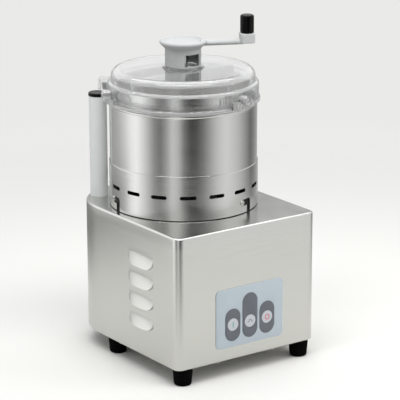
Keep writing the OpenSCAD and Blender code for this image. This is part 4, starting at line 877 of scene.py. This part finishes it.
def make_stage():
    material, tree, shader = new_material("studio_table_pale", Base_Color=linear("#F0F0EE"), Roughness=0.9)
    shader.inputs["Specular IOR Level"].default_value = 0.0
    ray = add(tree, "LightPath").outputs
    coords = add(tree, "TexCoord").outputs["Object"]
    reach = add(tree, "VectorMath", [(0, coords)], operation="LENGTH").outputs["Value"]
    far = add(tree, "MapRange", [(0, reach), (1, 0.35), (2, 1.00), (3, 0.0), (4, 1.0)]).outputs[0]
    # in reflections the table carries painted shade, darker behind the object and a little darker all over, and
    # gives way to the studio further out
    deep = add(tree, "SeparateXYZ", [(0, coords)]).outputs["Y"]
    rear = add(tree, "MapRange", [(0, deep), (1, 0.36), (2, 0.66), (3, 0.0), (4, 1.0)]).outputs[0]
    near = add(tree, "MapRange", [(0, reach), (1, 1.00), (2, 1.20), (3, 1.0), (4, 0.0)]).outputs[0]
    rear = add(tree, "Math", [(0, rear), (1, near)], operation="MULTIPLY").outputs[0]
    rear = add(tree, "Math", [(0, rear), (1, ray["Is Glossy Ray"])], operation="MULTIPLY").outputs[0]
    front = add(tree, "Math", [(0, 1.0), (1, rear)], operation="SUBTRACT").outputs[0]
    shade = add(tree, "MapRange", [(0, rear), (1, 0.0), (2, 1.0), (3, 1.0), (4, 0.32)]).outputs[0]
    dim = add(tree, "MapRange", [(0, ray["Is Glossy Ray"]), (1, 0.0), (2, 1.0), (3, 1.0), (4, 0.93)]).outputs[0]
    shade = add(tree, "Math", [(0, shade), (1, dim)], operation="MULTIPLY").outputs[0]
    base = add(tree, "MixRGB", [(0, 1.0), (1, linear("#F0F0EE")), (2, shade)], blend_type="MULTIPLY").outputs[0]
    tree.links.new(base, shader.inputs["Base Color"])
    away = add(tree, "Math", [(0, far), (1, ray["Is Glossy Ray"])], operation="MULTIPLY").outputs[0]
    away = add(tree, "Math", [(0, away), (1, front)], operation="MULTIPLY").outputs[0]
    # seen directly or through the lid, it fades into the backdrop
    edge = add(tree, "MapRange", [(0, reach), (1, 0.45), (2, 1.60), (3, 0.0), (4, 1.0)],
               interpolation_type="SMOOTHSTEP").outputs[0]
    seen = [(0, ray["Is Camera Ray"]), (1, ray["Is Transmission Ray"])]
    straight = add(tree, "Math", seen, operation="MAXIMUM").outputs[0]
    edge = add(tree, "Math", [(0, edge), (1, straight)], operation="MULTIPLY").outputs[0]
    away = add(tree, "Math", [(0, away), (1, edge)], operation="MAXIMUM").outputs[0]
    clear = add(tree, "BsdfTransparent")
    mix = add(tree, "MixShader", [(0, away), (1, shader.outputs[0]), (2, clear.outputs[0])])
    output = next(n for n in tree.nodes if n.type == "OUTPUT_MATERIAL")
    tree.links.new(mix.outputs[0], output.inputs[0])
    edit = bmesh.new()
    bmesh.ops.create_circle(edit, cap_ends=True, segments=96, radius=9.0)
    mesh = bpy.data.meshes.new("floor")
    edit.to_mesh(mesh)
    edit.free()
    piece("floor", mesh, material)

    world = bpy.data.worlds.new("studio")
    bpy.context.scene.world = world
    world.use_nodes = True
    tree = world.node_tree
    tree.nodes.clear()
    ray = add(tree, "LightPath").outputs
    way = add(tree, "TexCoord").outputs["Generated"]
    xyz = add(tree, "SeparateXYZ", [(0, way)]).outputs
    # angle round the object, 0 at the camera, growing to its right
    turn = math.radians(-124.8)
    c, s = math.cos(turn), math.sin(turn)
    ahead = add(tree, "VectorMath", [(0, way), (1, (c, s, 0))], operation="DOT_PRODUCT").outputs["Value"]
    right = add(tree, "VectorMath", [(0, way), (1, (-s, c, 0))], operation="DOT_PRODUCT").outputs["Value"]
    angle = add(tree, "Math", [(0, right), (1, ahead)], operation="ARCTAN2").outputs[0]
    place = add(tree, "MapRange", [(0, angle), (1, -math.pi), (2, math.pi), (3, 0.0), (4, 1.0)]).outputs[0]
    low, high = studio_wall(tree, place, STUDIO_LOW), studio_wall(tree, place, STUDIO_HIGH)
    rise = add(tree, "MapRange", [(0, xyz["Z"]), (1, -0.12), (2, 0.14), (3, 0.0), (4, 1.0)]).outputs[0]
    walls = add(tree, "MixRGB", [(0, rise), (1, low), (2, high)]).outputs[0]
    above = add(tree, "MapRange", [(0, xyz["Z"]), (1, 0.55), (2, 0.9), (3, 0.0), (4, 1.0)]).outputs[0]
    walls = add(tree, "MixRGB", [(0, above), (1, walls), (2, (0.6, 0.6, 0.62, 1))]).outputs[0]
    studio = add(tree, "VectorMath", [(0, walls), ("Scale", STUDIO_PEAK)], operation="SCALE").outputs[0]
    bounced = add(tree, "Math", [(0, ray["Glossy Depth"]), (1, 0.5)], operation="GREATER_THAN").outputs[0]
    seen = add(tree, "MixRGB", [(0, bounced), (1, linear(BACKDROP)), (2, studio)]).outputs[0]
    colour = add(tree, "MixRGB", [(0, ray["Is Diffuse Ray"]), (1, seen), (2, (0.50, 0.50, 0.50, 1))]).outputs[0]
    back = add(tree, "Background", [(0, colour), (1, 1.0)])
    output = add(tree, "OutputWorld")
    tree.links.new(back.outputs[0], output.inputs[0])

    # white cards that only reflections see: a band round the set for the lid's flat top, a strip overhead
    def band(edit):
        bmesh.ops.create_cone(edit, segments=96, radius1=0.75, radius2=0.75, depth=0.34)
        toward = Vector((c, s, 0))
        open_side = [f for f in edit.faces if f.calc_center_median().normalized().dot(toward) > 0.6]
        bmesh.ops.delete(edit, geom=open_side, context="FACES")
        for vert in edit.verts:
            vert.co.z += 0.725

    def strip(edit):
        corners = [edit.verts.new((a * -s - b * c, a * c - b * s, 1.45))
                   for a, b in ((-1.1, -0.05), (1.1, -0.05), (1.1, 0.25), (-1.1, 0.25))]
        edit.faces.new(corners)
    for name, build, strength in (("band", band, 1.25), ("strip", strip, 3.6)):
        material, tree, shader = new_material("studio_white_" + name, Base_Color=(0, 0, 0, 1), Roughness=1.0,
                                              Emission_Color=(1, 1, 1, 1), Emission_Strength=strength)
        edit = bmesh.new()
        build(edit)
        mesh = bpy.data.meshes.new(name)
        edit.to_mesh(mesh)
        edit.free()
        card = piece(name, mesh, material)
        card.visible_camera = card.visible_diffuse = card.visible_transmission = card.visible_shadow = False

    for name, place, size, power, tint, mirrored in (
            ("key", (-0.36, -0.52, 1.75), (1.9, 0.55), 19.0, (1, 0.995, 0.98), True),
            ("top", (0.43, 0.62, 1.70), (2.0, 0.35), 8.0, (0.99, 0.995, 1.0), True),
            ("right", (1.15, -1.25, 1.35), (0.9, 0.9), 7.0, (1, 0.985, 0.96), False)):
        data = bpy.data.lights.new(name, "AREA")
        data.shape, data.size, data.size_y, data.energy, data.color = "RECTANGLE", *size, power, tint
        lamp = bpy.data.objects.new(name, data)
        lamp.location = place
        lamp.rotation_euler = (Vector((0, 0, 0.25)) - Vector(place)).to_track_quat("-Z", "Y").to_euler()
        lamp.visible_camera = lamp.visible_transmission = False
        lamp.visible_glossy = mirrored
        bpy.context.scene.collection.objects.link(lamp)
    bpy.context.scene.view_settings.view_transform = "Standard"


place_camera()
make_stage()
make_housing()
make_jacket()
make_pot()
make_lid()
make_crank()

for node, material, width in (
        ("floor_plate", ZINC, 0.0), ("floor_plate_screws", ZINC, 0.3), ("feet", RUBBER, 0.4),
        # the locating ring is coloured nearly black as painted shade
        ("foot_screws", ZINC, 0.3), ("locating_ring", RING_PAINTED_SHADE, 0.3), ("bayonet_pins", TURNED, 0.4),
        ("drive_boss", CAST, 0.5), ("boss_screws", ZINC, 0.3),
        ("column_tube", SILVER, 0.0), ("column_cap", BLACK, 0.0),
        ("keypad_plate", FILM, 0.3), ("key_surrounds", FILM_GREY, 0.15),
        ("start_key", KEY_FILM, 0.0), ("pulse_key", KEY_FILM, 0.0), ("stop_key", KEY_FILM, 0.0),
        ("cord_bush", BLACK, 0.4), ("knife_hub", TURNED, 0.4), ("lower_blade", BLADE, 0.0),
        ("blade_spacer", TURNED, 0.4), ("upper_blade", BLADE, 0.0), ("knife_clamp_ring", TURNED, 0.4),
        ("knife_cap", BLACK, 0.3), ("bowl_centre_tube", TURNED, 0.0), ("lid_gasket", SILICONE, 0.2),
        ("lug_pins", TURNED, 0.4), ("lid_magnet", BLACK, 0.3),
        ("scraper_shaft", TURNED, 0.4), ("scraper_arm", PALE, 0.6), ("scraper_wipers", SILICONE, 0.3),
        ("knob_spindle", TURNED, 0.3)):
    dress(node, material, width)

# One keeps running, one runs while it is held, one stops
key_mark("mark_start", "start_key", MARK_GREEN, -28.0, [
    [(-0.9, -4.2), (0.9, -4.2), (0.9, 4.2), (-0.9, 4.2)]])
key_mark("mark_pulse", "pulse_key", MARK_GREY, 3.0, [
    [(-5, -1.6), (-2.6, -1.6), (-2.6, -0.4), (-5, -0.4)], [(-2.6, -1.6), (-1.4, -1.6), (-1.4, 2.6), (-2.6, 2.6)],
    [(-1.4, 1.4), (1.4, 1.4), (1.4, 2.6), (-1.4, 2.6)], [(1.4, -1.6), (2.6, -1.6), (2.6, 2.6), (1.4, 2.6)],
    [(2.6, -1.6), (5, -1.6), (5, -0.4), (2.6, -0.4)]])
key_mark("mark_stop", "stop_key", MARK_RED, 34.0, ring_parts(4.4, 2.8))

for node, material in (
        ("shaft_seal", RUBBER), ("upper_bearing", TURNED), ("upper_end_bell", CAST), ("motor_can", PAINT),
        ("stator_core", PAINT), ("stator_windings", COPPER), ("lower_end_bell", CAST), ("lower_bearing", TURNED),
        ("motor_studs", ZINC), ("column_stud", ZINC), ("column_nut", ZINC), ("reed_switch", BOARD),
        ("key_board", BOARD), ("board_spacers", ZINC), ("key_switches", BLACK), ("run_capacitor", ALLOY),
        ("capacitor_clip", ZINC), ("motor_relay", BLACK), ("drive_shaft", TURNED), ("motor_rotor", PAINT),
        ("cooling_fan", BLACK)):
    mesh = frame["nodes"][node].data
    mesh.materials.clear()
    mesh.materials.append(material)
